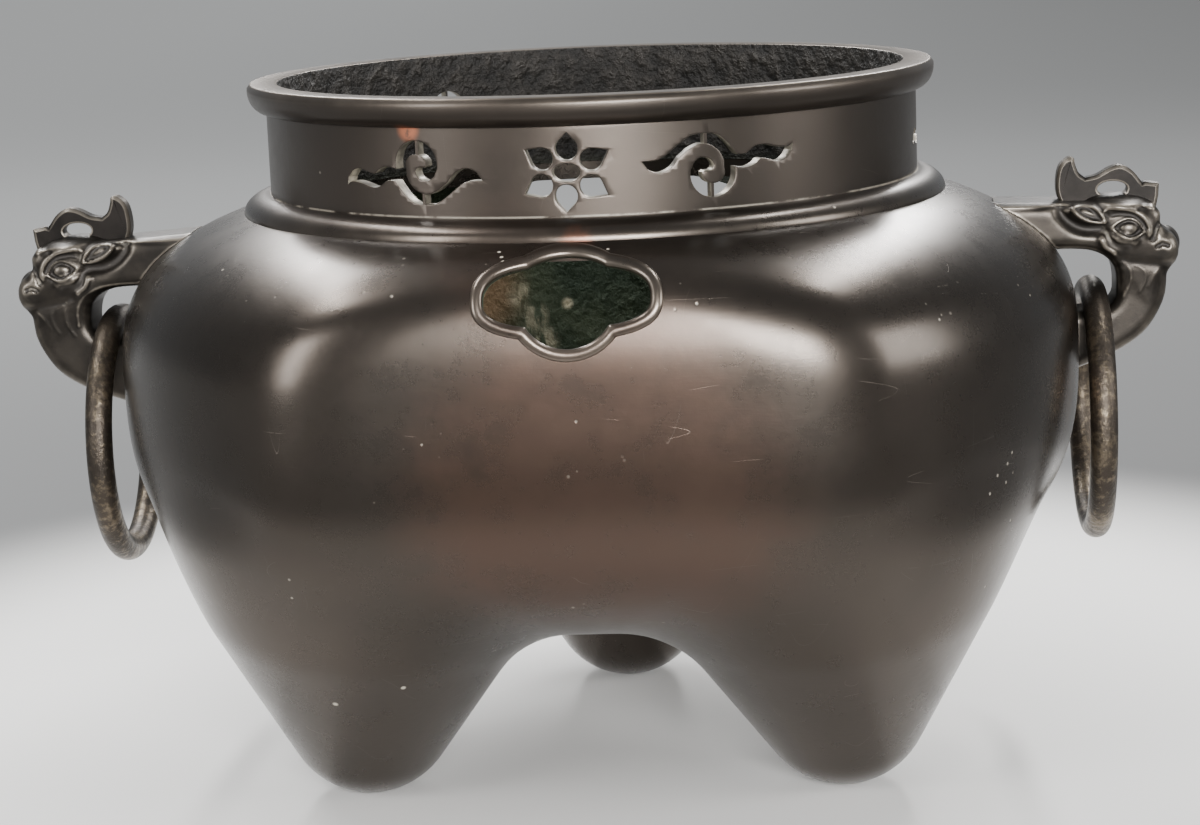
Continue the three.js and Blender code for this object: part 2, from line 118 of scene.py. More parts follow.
def bowl(reach, height, radius, level, rise, depth, power):
    lift = height - level
    half = np.where(lift > 0, rise, depth)
    share = ((np.maximum(reach, 0) / radius) ** power + (np.abs(lift) / half) ** power) ** (1 / power)
    return np.hypot(reach, lift) * (1 - 1 / np.maximum(share, 1e-6))


def round_cone(points, low, high, low_radius, high_radius):
    axis = high - low
    length = np.linalg.norm(axis)
    offset = points - low
    along = offset @ axis / length
    aside = np.linalg.norm(offset - np.outer(along / length, axis), axis=1)
    slope = (low_radius - high_radius) / length
    run = math.sqrt(1 - slope**2)
    slide = along - aside * slope / run
    flank = aside * run + along * slope - low_radius
    tip = np.linalg.norm(points - high, axis=1) - high_radius
    root = np.linalg.norm(offset, axis=1) - low_radius
    return np.where(slide < 0, root, np.where(slide > length, tip, flank))


def body_form(points, leg_blend=LEG_BLEND):
    height = points[:, 2]
    pot = bowl(np.hypot(points[:, 0], points[:, 1]), height, **POT)
    for turn in (0, 120, 240):
        pot = soft_max(pot, bowl(points @ around(1, turn, 0), height, **FACE), FACE_BLEND)
    squashed = points.copy()
    above = np.maximum(height - LEG_TOP_LEVEL, 0)
    squashed[:, 2] += above * (LEG_TOP_SQUASH - 1)
    pouches = None
    for foot_turn, top_turn in LEG_TURNS:
        foot = around(FOOT_CIRCLE, foot_turn, FOOT_RADIUS)
        top = around(LEG_TOP_CIRCLE, top_turn, LEG_TOP_LEVEL)
        pouch = round_cone(squashed, foot, top, FOOT_RADIUS, LEG_TOP_RADIUS)
        pouches = pouch if pouches is None else soft_min(pouches, pouch, leg_blend)
    return soft_min(pot, pouches, leg_blend)


centre_wall = around(183.4, 0, 194)
print("form at the middle of the front face:", round(float(body_form(centre_wall[None])[0]), 2), "mm")

# %% [markdown]
# ## From the function to a surface
# A sphere has just the right topology for a closed pot: one mesh, no seams. Every vertex of a UV sphere
# slides along its own ray from the pot's heart until it meets the form. The rows are spread by the length
# of the path down a leg, or the long legs would get only a few of them.

# %% Meeting the form along rays
HEART = np.array([0, 0, 240.0])
FAR = 340.0


def meet(rays, grow, leg_blend=LEG_BLEND):
    """Distance from the heart at which each ray crosses the form, moved outwards by grow."""
    outside = np.full(len(rays), FAR)
    searching = np.ones(len(rays), bool)
    while searching.any():
        outside[searching] -= 4
        value = body_form(HEART + rays[searching] * outside[searching, None], leg_blend)
        limit = grow[searching] if isinstance(grow, np.ndarray) else grow
        searching[np.flatnonzero(searching)[value <= limit]] = False
    inside, outside = outside, outside + 4
    for _ in range(16):
        middle = (inside + outside) / 2
        beyond = body_form(HEART + rays * middle[:, None], leg_blend) > grow
        outside = np.where(beyond, middle, outside)
        inside = np.where(beyond, inside, middle)
    return inside


def polar_ray(turn, polar):
    angle = np.radians(turn)
    return np.stack([np.sin(polar) * np.sin(angle), -np.sin(polar) * np.cos(angle), np.cos(polar)], -1)


def spread_rows():
    """Polar angle as a function of the row's share, evenly spaced down the legs and the faces."""
    polar = np.linspace(0, np.pi, 400)
    total = np.zeros(len(polar))
    for turn in (0, 35, 60, 85):
        rays = polar_ray(turn, polar)
        path = HEART + rays * meet(rays, 0)[:, None]
        total[1:] += np.cumsum(np.linalg.norm(np.diff(path, axis=0), axis=1))
    return polar, total / total[-1]


ROW_POLAR, ROW_SHARE = spread_rows()


def form_shell(columns, rows, grow, leg_blend=LEG_BLEND):
    """A closed mesh on the form; grow is a number or a function of the polar angle."""
    bm = bmesh.new()
    bmesh.ops.create_uvsphere(bm, u_segments=columns, v_segments=rows, radius=1)
    unit = np.array([v.co for v in bm.verts])
    polar = np.arccos(np.clip(unit[:, 2], -1, 1))
    polar = np.interp(polar / np.pi, ROW_SHARE, ROW_POLAR)
    flat = unit[:, :2] / np.maximum(np.hypot(unit[:, 0], unit[:, 1]), 1e-9)[:, None]
    rays = np.column_stack([flat * np.sin(polar)[:, None], np.cos(polar)])
    amount = grow(polar) if callable(grow) else grow
    places = HEART + rays * meet(rays, amount, leg_blend)[:, None]
    for vertex, place in zip(bm.verts, places):
        vertex.co = place
    return bm


print("a row for every", round(float(np.degrees(np.diff(ROW_POLAR).max())), 2), "degrees at the finest")

# %% [markdown]
# ## Carving with solids
# The wall, the mouth and the draught opening are cut with Boolean modifiers, because the cuts cross a
# surface that bends both ways. The helper makes short-lived objects, lets the modifiers run, and keeps
# only the resulting mesh.

# %% A helper for cutting one mesh with others
def as_object(bm, name="scratch"):
    mesh = bpy.data.meshes.new(name)
    bm.to_mesh(mesh)
    bm.free()
    made = bpy.data.objects.new(name, mesh)
    bpy.context.collection.objects.link(made)
    return made


def carved(bm, cutters):
    whole = as_object(bm)
    scratch = [as_object(cutter) for cutter in cutters]
    for cutter in scratch:
        cut = whole.modifiers.new("cut", "BOOLEAN")
        cut.operation = "DIFFERENCE"
        cut.solver = "EXACT"
        cut.object = cutter
    evaluated = whole.evaluated_get(bpy.context.evaluated_depsgraph_get())
    result = bmesh.new()
    result.from_mesh(evaluated.to_mesh())
    evaluated.to_mesh_clear()
    for gone in (whole, *scratch):
        bpy.data.meshes.remove(gone.data)
    return result


def drum(radius, low, high, steps=192):
    bm = bmesh.new()
    bmesh.ops.create_cone(bm, cap_ends=True, segments=steps, radius1=radius, radius2=radius, depth=high - low)
    bmesh.ops.translate(bm, vec=(0, 0, (low + high) / 2), verts=bm.verts)
    return bm


# %% [markdown]
# ## Two openings in the pot
# The outline of the front opening is the wider of two ovals at every angle, one lying and one standing,
# which leaves the four small points between the lobes. At the back, behind the neck's openwork, is a plain
# oval; the pale wall beyond shines through it and then through the lower petals of the flower. Both were cut
# square to a wall that leans, so each cutter is a flat outline, extruded and then leant over.

# %% The outlines and their cutters
FRONT_LEAN, REAR_LEAN = 20, 33
REAR_REACH, REAR_RISE, REAR_ASIDE, REAR_LEVEL = 72, 30, 3, 231.1
LOBE_LEVEL = 235.5
LOBE_SIDE, LOBE_SIDE_RISE, LOBE_SIDE_DROP = 33, 12.5, 11
LOBE_TOP, LOBE_TOP_RISE = 24, 15.4
LOBE_BOTTOM, LOBE_BOTTOM_DROP = 19.4, 19.2


def lobe_reach(angle, grow=0.0, grow_top=0.0):
    def oval(width, height, power):
        across, along = np.abs(np.cos(angle) / width), np.abs(np.sin(angle) / height)
        return (across**power + along**power) ** (-1 / power)

    rise = np.sin(angle) > 0
    add = np.where(rise, grow_top, grow)
    lying = oval(LOBE_SIDE + grow, np.where(rise, LOBE_SIDE_RISE, LOBE_SIDE_DROP) + add, 2.6)
    standing = oval(
        np.where(rise, LOBE_TOP, LOBE_BOTTOM) + grow,
        np.where(rise, LOBE_TOP_RISE, LOBE_BOTTOM_DROP) + add,
        2,
    )
    return np.maximum(lying, standing)


def face_y(x, z, side):
    """The y of the front (side -1) or back (side 1) face at each x and z."""
    x, z = np.broadcast_arrays(np.asarray(x, float), np.asarray(z, float))
    inside, outside = np.full(x.shape, 110.0), np.full(x.shape, 240.0)
    for _ in range(24):
        middle = (inside + outside) / 2
        beyond = body_form(np.column_stack([x, side * middle, z])) > 0
        outside, inside = np.where(beyond, middle, outside), np.where(beyond, inside, middle)
    return side * inside


def wall_cutter(outline, lean, side, middle):
    """A prism square to the leaning wall; the outline's heights are measured up the slope."""
    lean = math.radians(lean)
    across = middle[1] * math.cos(lean) + side * middle[2] * math.sin(lean)
    bm = bmesh.new()
    face = bm.faces.new([bm.verts.new((x, across - 30, w)) for x, w in outline])
    grown = bmesh.ops.extrude_face_region(bm, geom=[face], use_keep_orig=True)
    moved = [v for v in grown["geom"] if isinstance(v, bmesh.types.BMVert)]
    bmesh.ops.translate(bm, vec=(0, 60, 0), verts=moved)
    bmesh.ops.rotate(bm, cent=(0, 0, 0), matrix=Matrix.Rotation(side * lean, 3, "X"), verts=bm.verts)
    bmesh.ops.recalc_face_normals(bm, faces=bm.faces)
    return bm


def front_cutter(steps):
    angles = (np.arange(steps) + 0.5) * 2 * np.pi / steps
    reach = lobe_reach(angles)
    x, z = reach * np.cos(angles), LOBE_LEVEL + reach * np.sin(angles)
    lean = math.radians(FRONT_LEAN)
    up_slope = face_y(x, z, -1) * math.sin(lean) + z * math.cos(lean)
    middle = (0, float(face_y([0], [LOBE_LEVEL], -1)[0]), LOBE_LEVEL)
    return wall_cutter(list(zip(x, up_slope)), FRONT_LEAN, -1, middle)


def rear_cutter(steps):
    angles = np.arange(steps) * 2 * np.pi / steps
    lean = math.radians(REAR_LEAN)
    middle = (0, float(face_y([0], [REAR_LEVEL], 1)[0]), REAR_LEVEL)
    level = middle[2] * math.cos(lean) - middle[1] * math.sin(lean)
    outline = [(REAR_REACH * math.cos(a) - REAR_ASIDE, level + REAR_RISE * math.sin(a)) for a in angles]
    return wall_cutter(outline, REAR_LEAN, 1, middle)


print("lobed opening", round(2 * float(lobe_reach(np.array([0.0]))[0]), 1), "mm wide")

# %% [markdown]
# ## The body
# The outer skin is a sphere moved onto the form. The hollow is a second, coarser sphere a wall's thickness
# further in, thicker towards the feet, as a casting is. Cutting the hollow, the mouth and both openings
# from the skin leaves one closed shell with a real wall. The faces of the hollow get a second material slot,
# since the metal inside was never polished.

# %% Shell of the body
WALL, FOOT_WALL = 4.5, 10
BORE_RADIUS = 138.3


def hollow_wall(polar):
    return -(WALL + (FOOT_WALL - WALL) * (polar / np.pi) ** 3)


def body_mesh():
    skin = form_shell(288, 200, 0)
    hollow = form_shell(144, 96, hollow_wall, HOLLOW_BLEND)
    mouth = drum(BORE_RADIUS + 0.3, 236, 330)
    return carved(skin, (hollow, mouth, front_cutter(144), rear_cutter(144)))


def mark_inside(bm, limit=-1.2):
    bm.faces.ensure_lookup_table()
    centres = np.array([f.calc_center_median() for f in bm.faces])
    within = body_form(centres) < limit
    bore = (np.hypot(centres[:, 0], centres[:, 1]) < BORE_RADIUS + 0.8) & (centres[:, 2] > 236)
    for face, hidden in zip(bm.faces, within | bore):
        face.material_index = 1 if hidden else 0
    print("faces of the hollow:", int((within | bore).sum()))


body_bm = body_mesh()
mark_inside(body_bm)
body = piece("pouch_body", body_bm, "vessel", ("vessel",))
body.data.set_sharp_from_angle(angle=math.radians(40))

# %% [markdown]
# ## The band around the opening
# A rounded moulding runs round the lobed opening and follows the curved front. It begins as a torus, whose
# two angles are exactly what is needed: one goes round the outline, the other round the section.

# %% Draught band
BAND_WIDTH, BAND_TOP_WIDTH, BAND_HEIGHT = 4.8, 3.4, 2.2


def torus(steps, sides):
    bm = bmesh.new()
    section = bmesh.ops.create_circle(bm, segments=sides, radius=0.25)["verts"]
    bmesh.ops.rotate(bm, cent=(0, 0, 0), matrix=Matrix.Rotation(math.pi / 2, 3, "X"), verts=section)
    bmesh.ops.translate(bm, vec=(1, 0, 0), verts=section)
    bmesh.ops.spin(
        bm, geom=bm.verts[:] + bm.edges[:], cent=(0, 0, 0), axis=(0, 0, 1), angle=2 * math.pi,
        steps=steps, use_merge=True,
    )
    return bm


def torus_angles(bm):
    places = np.array([v.co for v in bm.verts])
    around_ring = np.arctan2(places[:, 1], places[:, 0])
    out = np.hypot(places[:, 0], places[:, 1]) - 1
    return around_ring, np.arctan2(places[:, 2], out)


def on_front(points):
    return np.column_stack([points[:, 0], face_y(points[:, 0], points[:, 1], -1), points[:, 1]])


def lobe_line(angle, share):
    """A line on the front face; share 0 is the opening's edge, 1 the band's outer edge."""
    reach = lobe_reach(angle, BAND_WIDTH * share, BAND_TOP_WIDTH * share)
    return on_front(np.column_stack([reach * np.cos(angle), LOBE_LEVEL + reach * np.sin(angle)]))


def band_mesh():
    bm = torus(288, 16)
    angle, turn = torus_angles(bm)
    inner, outer = lobe_line(angle, -0.05), lobe_line(angle, 1.0)
    middle, across = (inner + outer) / 2, (outer - inner) / 2
    along = lobe_line(angle + 0.01, 0.5) - lobe_line(angle - 0.01, 0.5)
    out = np.cross(along, across)
    out /= np.linalg.norm(out, axis=1)[:, None]
    out *= np.sign(-out[:, 1])[:, None]
    rise = np.sign(np.sin(turn)) * np.abs(np.sin(turn)) ** 0.8 * BAND_HEIGHT
    places = middle + across * np.cos(turn)[:, None] + out * rise[:, None]
    for vertex, place in zip(bm.verts, places):
        vertex.co = place
    faces_outwards(bm)
    return bm


band = piece("draught_band", band_mesh(), "vessel")

# %% [markdown]
# ## Rim and foot moulding
# Both are turned rings, so each is a closed section spun about the axis. The rim is flat on top, crisp at
# its outer edge, swells out a little below it and tucks in under a deep shadow line. The moulding at the
# neck's foot is one smooth quarter round.

# %% Spinning closed sections
NECK_RADIUS, NECK_WALL = 143.5, 5.2
NECK_FOOT, NECK_TOP, RIM_TOP = 263.3, 299.5, 311.8
RIM_RADIUS, RIM_EDGE, RIM_WIDEST = 151.5, 150.4, 308.6
MOULDING_RADIUS, MOULDING_FOOT = 155.7, 255.2


def arc(centre, radii, start, end, steps):
    angles = np.radians(np.linspace(start, end, steps + 1))
    return [(centre[0] + radii[0] * math.cos(a), centre[1] + radii[1] * math.sin(a)) for a in angles]


def spun(section, steps=288):
    bm = bmesh.new()
    ring = [bm.verts.new((radius, 0, level)) for radius, level in section]
    edges = [bm.edges.new((ring[i - 1], ring[i])) for i in range(len(ring))]
    bmesh.ops.spin(
        bm, geom=ring + edges, cent=(0, 0, 0), axis=(0, 0, 1), angle=2 * math.pi, steps=steps,
        use_merge=True,
    )
    faces_outwards(bm)
    return bm


def rim_section():
    lip = 0.9
    inner = BORE_RADIUS - 0.2
    inner_edge = arc((inner + lip, RIM_TOP - lip), (lip, lip), 180, 90, 4)
    outer_edge = arc((RIM_EDGE - lip, RIM_TOP - lip), (lip, lip), 90, 20, 4)
    reach = (RIM_RADIUS - NECK_RADIUS - 0.8, RIM_WIDEST - NECK_TOP)
    swell = arc((NECK_RADIUS + 0.8, RIM_WIDEST), reach, 8, -90, 14)
    root = [(NECK_RADIUS - 2, NECK_TOP), (NECK_RADIUS - 2, NECK_TOP + 3), (inner, NECK_TOP + 3)]
    return [*inner_edge, *outer_edge, *swell, *root]


def moulding_section():
    size = (MOULDING_RADIUS - NECK_RADIUS, NECK_FOOT - MOULDING_FOOT)
    round_face = arc((NECK_RADIUS, MOULDING_FOOT), size, 84, 0, 14)
    root = MOULDING_FOOT - 8
    inner = NECK_RADIUS - 3
    return [(inner, NECK_FOOT - 0.2), *round_face, (MOULDING_RADIUS - 0.4, root), (inner, root)]


rim = piece("rolled_rim", spun(rim_section()), "vessel")
moulding = piece("neck_foot_moulding", spun(moulding_section()), "vessel")
for turned in (rim, moulding):
    turned.data.set_sharp_from_angle(angle=math.radians(50))

# %% [markdown]
# ## The openwork neck
# The neck's wall is a flat panel bent round. A filled curve is the easiest way to draw a panel with holes:
# every extra closed outline inside the first becomes a hole, and the curve's own bevel breaks the edges as
# a file would. One panel holds a flower between two clouds. It is scored into narrow strips, so that it can
# bend smoothly, then bent, and repeated three times round the neck.

# %% Flower and clouds
PANEL_TURN = 120
OPENWORK_LEVEL = NECK_FOOT + (NECK_TOP - NECK_FOOT) / 2
FLOWER_LEVEL, FLOWER_TURN, FLOWER_ROLL = OPENWORK_LEVEL - 0.4, -0.3, 2
CLOUD_LEVEL = OPENWORK_LEVEL - 3.5
CLOUD_DISC = 9.8
CLOUD_TURNS = ((23.6, 0), (-25.9, 180))
CLOUD_PIVOT = 0.34 * CLOUD_DISC
PETAL_RADIUS = 4.6


def smooth_line(points, steps):
    """Catmull-Rom curve through points, at even steps."""
    p = np.array([2 * np.array(points[0]) - points[1], *points, 2 * np.array(points[-1]) - points[-2]], float)
    fine = []
    for i in range(1, len(p) - 2):
        for t in np.linspace(0, 1, 24, endpoint=False):
            a, b, c, d = p[i - 1 : i + 3]
            pull, twist = 2 * a - 5 * b + 4 * c - d, 3 * b - a - 3 * c + d
            fine.append(0.5 * (2 * b + (c - a) * t + pull * t**2 + twist * t**3))
    fine = np.array([*fine, p[-2]])
    run = np.concatenate([[0], np.cumsum(np.linalg.norm(np.diff(fine, axis=0), axis=1))])
    wanted = np.linspace(0, run[-1], steps + 1)
    return [(float(np.interp(w, run, fine[:, 0])), float(np.interp(w, run, fine[:, 1]))) for w in wanted]


def petal(turn, distance, tip):
    direction = math.radians(turn)
    centre = (distance * math.cos(direction), distance * math.sin(direction))
    tangent = math.degrees(math.acos(PETAL_RADIUS / (tip - distance)))
    return [
        *arc(centre, (PETAL_RADIUS, PETAL_RADIUS), turn + tangent, turn + 360 - tangent, 18),
        (tip * math.cos(direction), tip * math.sin(direction)),
    ]


def flower():
    heart = arc((0, 0), (5.6, 3.75), 0, 345, 23)
    upright = [petal(turn, 9.4, 16) for turn in (90, 270)]
    slanting = [petal(turn, 11.3, 18.9) for turn in (28, 152, 208, 332)]
    return [heart, *upright, *slanting]


def cloud():
    top = smooth_line(
        [(-29.3, 6.1), (-22, 6.8), (-14, 12.4), (-9, 15.4), (-3.3, 16), (1.8, 15.2), (6, 12), (10.6, 6.6)], 26
    )
    wavy = smooth_line(
        [(10.6, 6.6), (15, 6.8), (19, 9.2), (23.2, 9.6), (28, 8.4), (33.8, 7.6), (36.8, 8.9)], 20
    )
    under = smooth_line(
        [(36.3, 6.2), (33, 3.1), (29.3, 2.3), (25.6, 3.4), (21.5, 4.1), (18.6, 2.2), (14.9, 1.1), (9.7, 1.8)],
        24,
    )
    head = arc((0, 0), (CLOUD_DISC, CLOUD_DISC), -4, -188, 28)
    inside = smooth_line(
        [(-8.2, 4.6), (-5.4, 6.4), (-3, 6.2), (-0.9, 5), (0.2, 2.7), (-1, 1.1), (-3.8, 1.1)], 16
    )
    tip = arc((0.1, -0.1), (5, 4.2), 172, 380, 18)
    outside = smooth_line([(4.8, 4.6), (3, 8.2), (-0.2, 10.8), (-3.4, 11.9), (-6.5, 11.7), (-10.3, 10)], 14)
    tail = smooth_line([(-14.5, 6.8), (-16.8, 3.9), (-20, 1.9), (-23.6, 1.3), (-27, 2.8)], 14)
    return [*top, *wavy[1:], *under, *head, *inside, *tip, *outside, *tail]


def rolled(points, roll, pivot=0.0):
    c, s = math.cos(math.radians(roll)), math.sin(math.radians(roll))
    return [(x * c + (z - pivot) * s, pivot - x * s + (z - pivot) * c) for x, z in points]


def along_neck(points, turn, level):
    """Chord positions about a motif's middle, laid out along the unrolled neck."""
    start = NECK_RADIUS * math.radians(turn)
    return [(start + NECK_RADIUS * math.asin(x / NECK_RADIUS), level + z) for x, z in points]


print("flower:", len(flower()), "holes; cloud:", len(cloud()), "points")

# %% Panel, scored and bent
PANEL_EDGE = 0.35


def panel_curve(outlines):
    curve = bpy.data.curves.new("panel", "CURVE")
    curve.dimensions = "2D"
    curve.fill_mode = "BOTH"
    curve.extrude = NECK_WALL / 2 - PANEL_EDGE
    curve.bevel_depth = PANEL_EDGE
    curve.bevel_resolution = 1
    curve.offset = -PANEL_EDGE
    for points in outlines:
        spline = curve.splines.new("POLY")
        spline.points.add(len(points) - 1)
        for place, (x, z) in zip(spline.points, points):
            place.co = (x, z, 0, 1)
        spline.use_cyclic_u = True
    return curve


def flat_panel():
    half = NECK_RADIUS * math.radians(PANEL_TURN / 2)
    low, high, spare = NECK_FOOT - 6, NECK_TOP + 3.6, 3
    outlines = [[(-half - spare, low), (half + spare, low), (half + spare, high), (-half - spare, high)]]
    outlines += [along_neck(rolled(points, FLOWER_ROLL), FLOWER_TURN, FLOWER_LEVEL) for points in flower()]
    for turn, roll in CLOUD_TURNS:
        outlines.append(along_neck(rolled(cloud(), roll, CLOUD_PIVOT), turn, CLOUD_LEVEL))
    drawn = bpy.data.objects.new("panel", panel_curve(outlines))
    bpy.context.collection.objects.link(drawn)
    mesh = bpy.data.meshes.new_from_object(drawn.evaluated_get(bpy.context.evaluated_depsgraph_get()))
    bm = bmesh.new()
    bm.from_mesh(mesh)
    bpy.data.curves.remove(drawn.data)
    bpy.data.meshes.remove(mesh)
    return bm


def add_ties(bm):
    for turn, roll in CLOUD_TURNS:
        for x, low, high in ((-0.3, 1.1, 1.76), (-0.05, -1.14, -0.34)):
            ends = [(x * CLOUD_DISC, low * CLOUD_DISC), (x * CLOUD_DISC, high * CLOUD_DISC)]
            ends = rolled(ends, roll, CLOUD_PIVOT)
            (cx, z0), (_, z1) = along_neck(ends, turn, CLOUD_LEVEL)
            bar = bmesh.ops.create_cube(bm, size=1)["verts"]
            bmesh.ops.scale(bm, vec=(1.2, abs(z1 - z0), NECK_WALL - 0.8), verts=bar)
            bmesh.ops.translate(bm, vec=(cx, (z0 + z1) / 2, 0), verts=bar)


def score(bm, step):
    half = NECK_RADIUS * math.radians(PANEL_TURN / 2)
    cuts = round(2 * half / step)
    for i in range(cuts + 1):
        x = -half + 2 * half * i / cuts
        bmesh.ops.bisect_plane(
            bm, geom=bm.verts[:] + bm.edges[:] + bm.faces[:], dist=1e-4, plane_co=(x, 0, 0),
            plane_no=(1, 0, 0), clear_inner=i == 0, clear_outer=i == cuts,
        )


def bend(bm):
    for vertex in bm.verts:
        x, z, depth = vertex.co
        turn = math.degrees(x / NECK_RADIUS)
        vertex.co = around(NECK_RADIUS - NECK_WALL / 2 + depth, turn, z)


def neck_mesh():
    bm = flat_panel()
    add_ties(bm)
    score(bm, 3.2)
    bend(bm)
    panel = bm.verts[:] + bm.edges[:] + bm.faces[:]
    for copy in (1, 2):
        made = bmesh.ops.duplicate(bm, geom=panel)["geom"]
        moved = [v for v in made if isinstance(v, bmesh.types.BMVert)]
        turn = Matrix.Rotation(math.radians(PANEL_TURN * copy), 3, "Z")
        bmesh.ops.rotate(bm, cent=(0, 0, 0), matrix=turn, verts=moved)
    faces_outwards(bm)
    return bm


neck = piece("openwork_neck", neck_mesh(), "vessel")
neck.data.set_sharp_from_angle(angle=math.radians(25))

# %% [markdown]
# ## Loose rings
# Each ring is a circle of round wire. Years of being lifted have made it slightly uneven, so its section
# swells and thins a little as it goes round.

# %% Rings
WIRE = 12.0
RING_RADIUS = 53.0
RING_PLANE = 219.5
RING_TOP = 206.0


def ring_mesh(side, seed):
    bm = torus(160, 28)
    angle, turn = torus_angles(bm)
    shapes = np.random.default_rng(seed).uniform(0, 2 * np.pi, 4)
    uneven = sum(np.sin(angle * (i + 2) + shapes[i]) * 0.12 / (i + 1) for i in range(4))
    wire = WIRE / 2 * (0.985 + 0.02 * uneven)
    out = RING_RADIUS + wire * np.cos(turn)
    places = np.column_stack([
        side * (RING_PLANE + wire * np.sin(turn)),
        out * np.sin(angle),
        RING_TOP - RING_RADIUS + out * np.cos(angle),
    ])
    for vertex, place in zip(bm.verts, places):
        vertex.co = place
    faces_outwards(bm)
    return bm


left_ring = piece("left_wire_ring", ring_mesh(-1, 3), "left_ring", ("left_ring",))
right_ring = piece("right_wire_ring", ring_mesh(1, 5), "right_ring", ("right_ring",))

# %% [markdown]
# ## Beast heads: the blank
# Each bracket is a cast head on a thick neck, with a gap under it where the ring hangs. A carver would saw
# the profile from a block, round its edges and add lumps for nose and brows. So does this cell. The drawing
# is made from the ring's upper wire, x outwards and z up. The left head was cast or set a little lower,
# further out and nose down, so each head takes a stance.

# %% Profile and blank of a head
HEAD_HALF, JAW_HALF = 17.3, 14.8
STANCES = {"right": (0, 0, 0), "left": (2, 4.4, 3.8)}
SEAT = 7.9


def stood(points, stance):
    """From the drawing to millimetres beside the vessel, for a turn, an outward shift and a drop."""
    turn, out, drop = stance
    placed = rolled(points, turn)
    return [(RING_PLANE + x + out, RING_TOP + z - drop) for x, z in placed]


def head_profile(stance):
    forehead = [(-46, 41.5), (26, 39.2), (29.1, 35), (29.0, 30)]
    snout = arc((30.5, 18.5), (6.6, 8.6), 75, -60, 10)
    jaw = smooth_line(
        [(31.9, 8), (31.3, -1), (27.9, -9.5), (22, -18), (12.5, -25), (0.5, -30.5), (-14.5, -36)], 16
    )
    hook = smooth_line([(10, 5), (9.1, 11), (5.5, 15.8), (-0.5, 18.8), (-8.5, 19.8), (-30, 19.8)], 14)
    saddle = arc((0, 0), (10, SEAT), -90, 0, 8)
    seat = [(RING_PLANE + x, RING_TOP + z) for x, z in [(-30, -SEAT), *saddle]]
    return [*stood([*forehead, *snout, *jaw], stance), *seat, *stood(hook, (0, 0, stance[2]))]


def slab(outline, half, bevel, segments=4):
    bm = bmesh.new()
    face = bm.faces.new([bm.verts.new((x, -half, z)) for x, z in outline])
    grown = bmesh.ops.extrude_face_region(bm, geom=[face], use_keep_orig=True)
    moved = [v for v in grown["geom"] if isinstance(v, bmesh.types.BMVert)]
    bmesh.ops.translate(bm, vec=(0, 2 * half, 0), verts=moved)
    faces_outwards(bm)
    flats = [f for f in bm.faces if abs(f.normal.y) > 0.9]
    edges = list({e for f in flats for e in f.edges})
    bmesh.ops.bevel(bm, geom=edges, offset=bevel, segments=segments, profile=0.5, affect="EDGES", material=-1)
    return bm


def smooth_step(value, low, high):
    share = np.clip((value - low) / (high - low), 0, 1)
    return share * share * (3 - 2 * share)


def lump(place, sizes, tilt, stance):
    bm = bmesh.new()
    bmesh.ops.create_uvsphere(bm, u_segments=32, v_segments=20, radius=1)
    bmesh.ops.scale(bm, vec=sizes, verts=bm.verts)
    turn = Matrix.Rotation(math.radians(tilt + stance[0]), 3, "Y")
    bmesh.ops.rotate(bm, cent=(0, 0, 0), matrix=turn, verts=bm.verts)
    x, y, z = place
    (across, up), = stood([(x, z)], stance)
    bmesh.ops.translate(bm, vec=(across, y, up), verts=bm.verts)
    return bm


def head_blank(stance):
    bm = slab(head_profile(stance), HEAD_HALF, 5.2, 6)
    level = RING_TOP - stance[2] + 18.5
    for vertex in bm.verts:
        vertex.co.y *= 1 + (JAW_HALF / HEAD_HALF - 1) * float(smooth_step(level - vertex.co.z, -3.5, 18.5))
    return bm


trial = head_blank(STANCES["right"])
print("blank of a head:", len(trial.faces), "faces, out to", round(max(v.co.x for v in trial.verts), 1), "mm")
trial.free()

# %% [markdown]
# ## Beast heads: one skin
# The lumps only cut through the blank, so the joints between them would be hard creases. A voxel remesh
# turns the pile into one even skin, and a few rounds of smoothing let the forms run into each other as they
# do in wax. The neck is then pressed against the pot, so its end fits the curve of the wall.

# %% Joining the forms into one skin
LUMPS = (
    ((31.0, 0, 20.0), (8.0, 9.8, 8.2), 0),
    ((13, -1, 24), (17, 18.2, 8.5), 8),
    ((12, -1, 38.2), (15.5, 17.6, 4.6), 4),
    ((21.5, 0, 20.5), (12.0, 16.6, 6.4), 8),
)


def poured(bm, voxel, rounds):
    whole = as_object(bm, "poured")
    remesh = whole.modifiers.new("skin", "REMESH")
    remesh.mode = "VOXEL"
    remesh.voxel_size = voxel
    skin = bmesh.new()
    evaluated = whole.evaluated_get(bpy.context.evaluated_depsgraph_get())
    skin.from_mesh(evaluated.to_mesh())
    evaluated.to_mesh_clear()
    bpy.data.meshes.remove(whole.data)
    for _ in range(rounds):
        bmesh.ops.smooth_vert(
            skin, verts=skin.verts, factor=0.5, use_axis_x=True, use_axis_y=True, use_axis_z=True
        )
    return skin


def join(bm, other):
    mesh = bpy.data.meshes.new("joined")
    other.to_mesh(mesh)
    other.free()
    bm.from_mesh(mesh)
    bpy.data.meshes.remove(mesh)


def pressed_to_pot(bm, gap=0.2):
    """Slide whatever would be inside the pot straight outwards onto its wall."""
    places = np.array([v.co for v in bm.verts])
    near, far = places[:, 0].copy(), np.full(len(places), 240.0)
    sunk = body_form(places) < gap
    for _ in range(20):
        middle = (near + far) / 2
        inside = body_form(np.column_stack([middle, places[:, 1], places[:, 2]])) < gap
        near, far = np.where(inside, middle, near), np.where(inside, far, middle)
    for vertex, x, move in zip(bm.verts, far, sunk):
        if move:
            vertex.co.x = x
    bmesh.ops.remove_doubles(bm, verts=bm.verts, dist=0.02)


print("lumps on a head:", len(LUMPS))

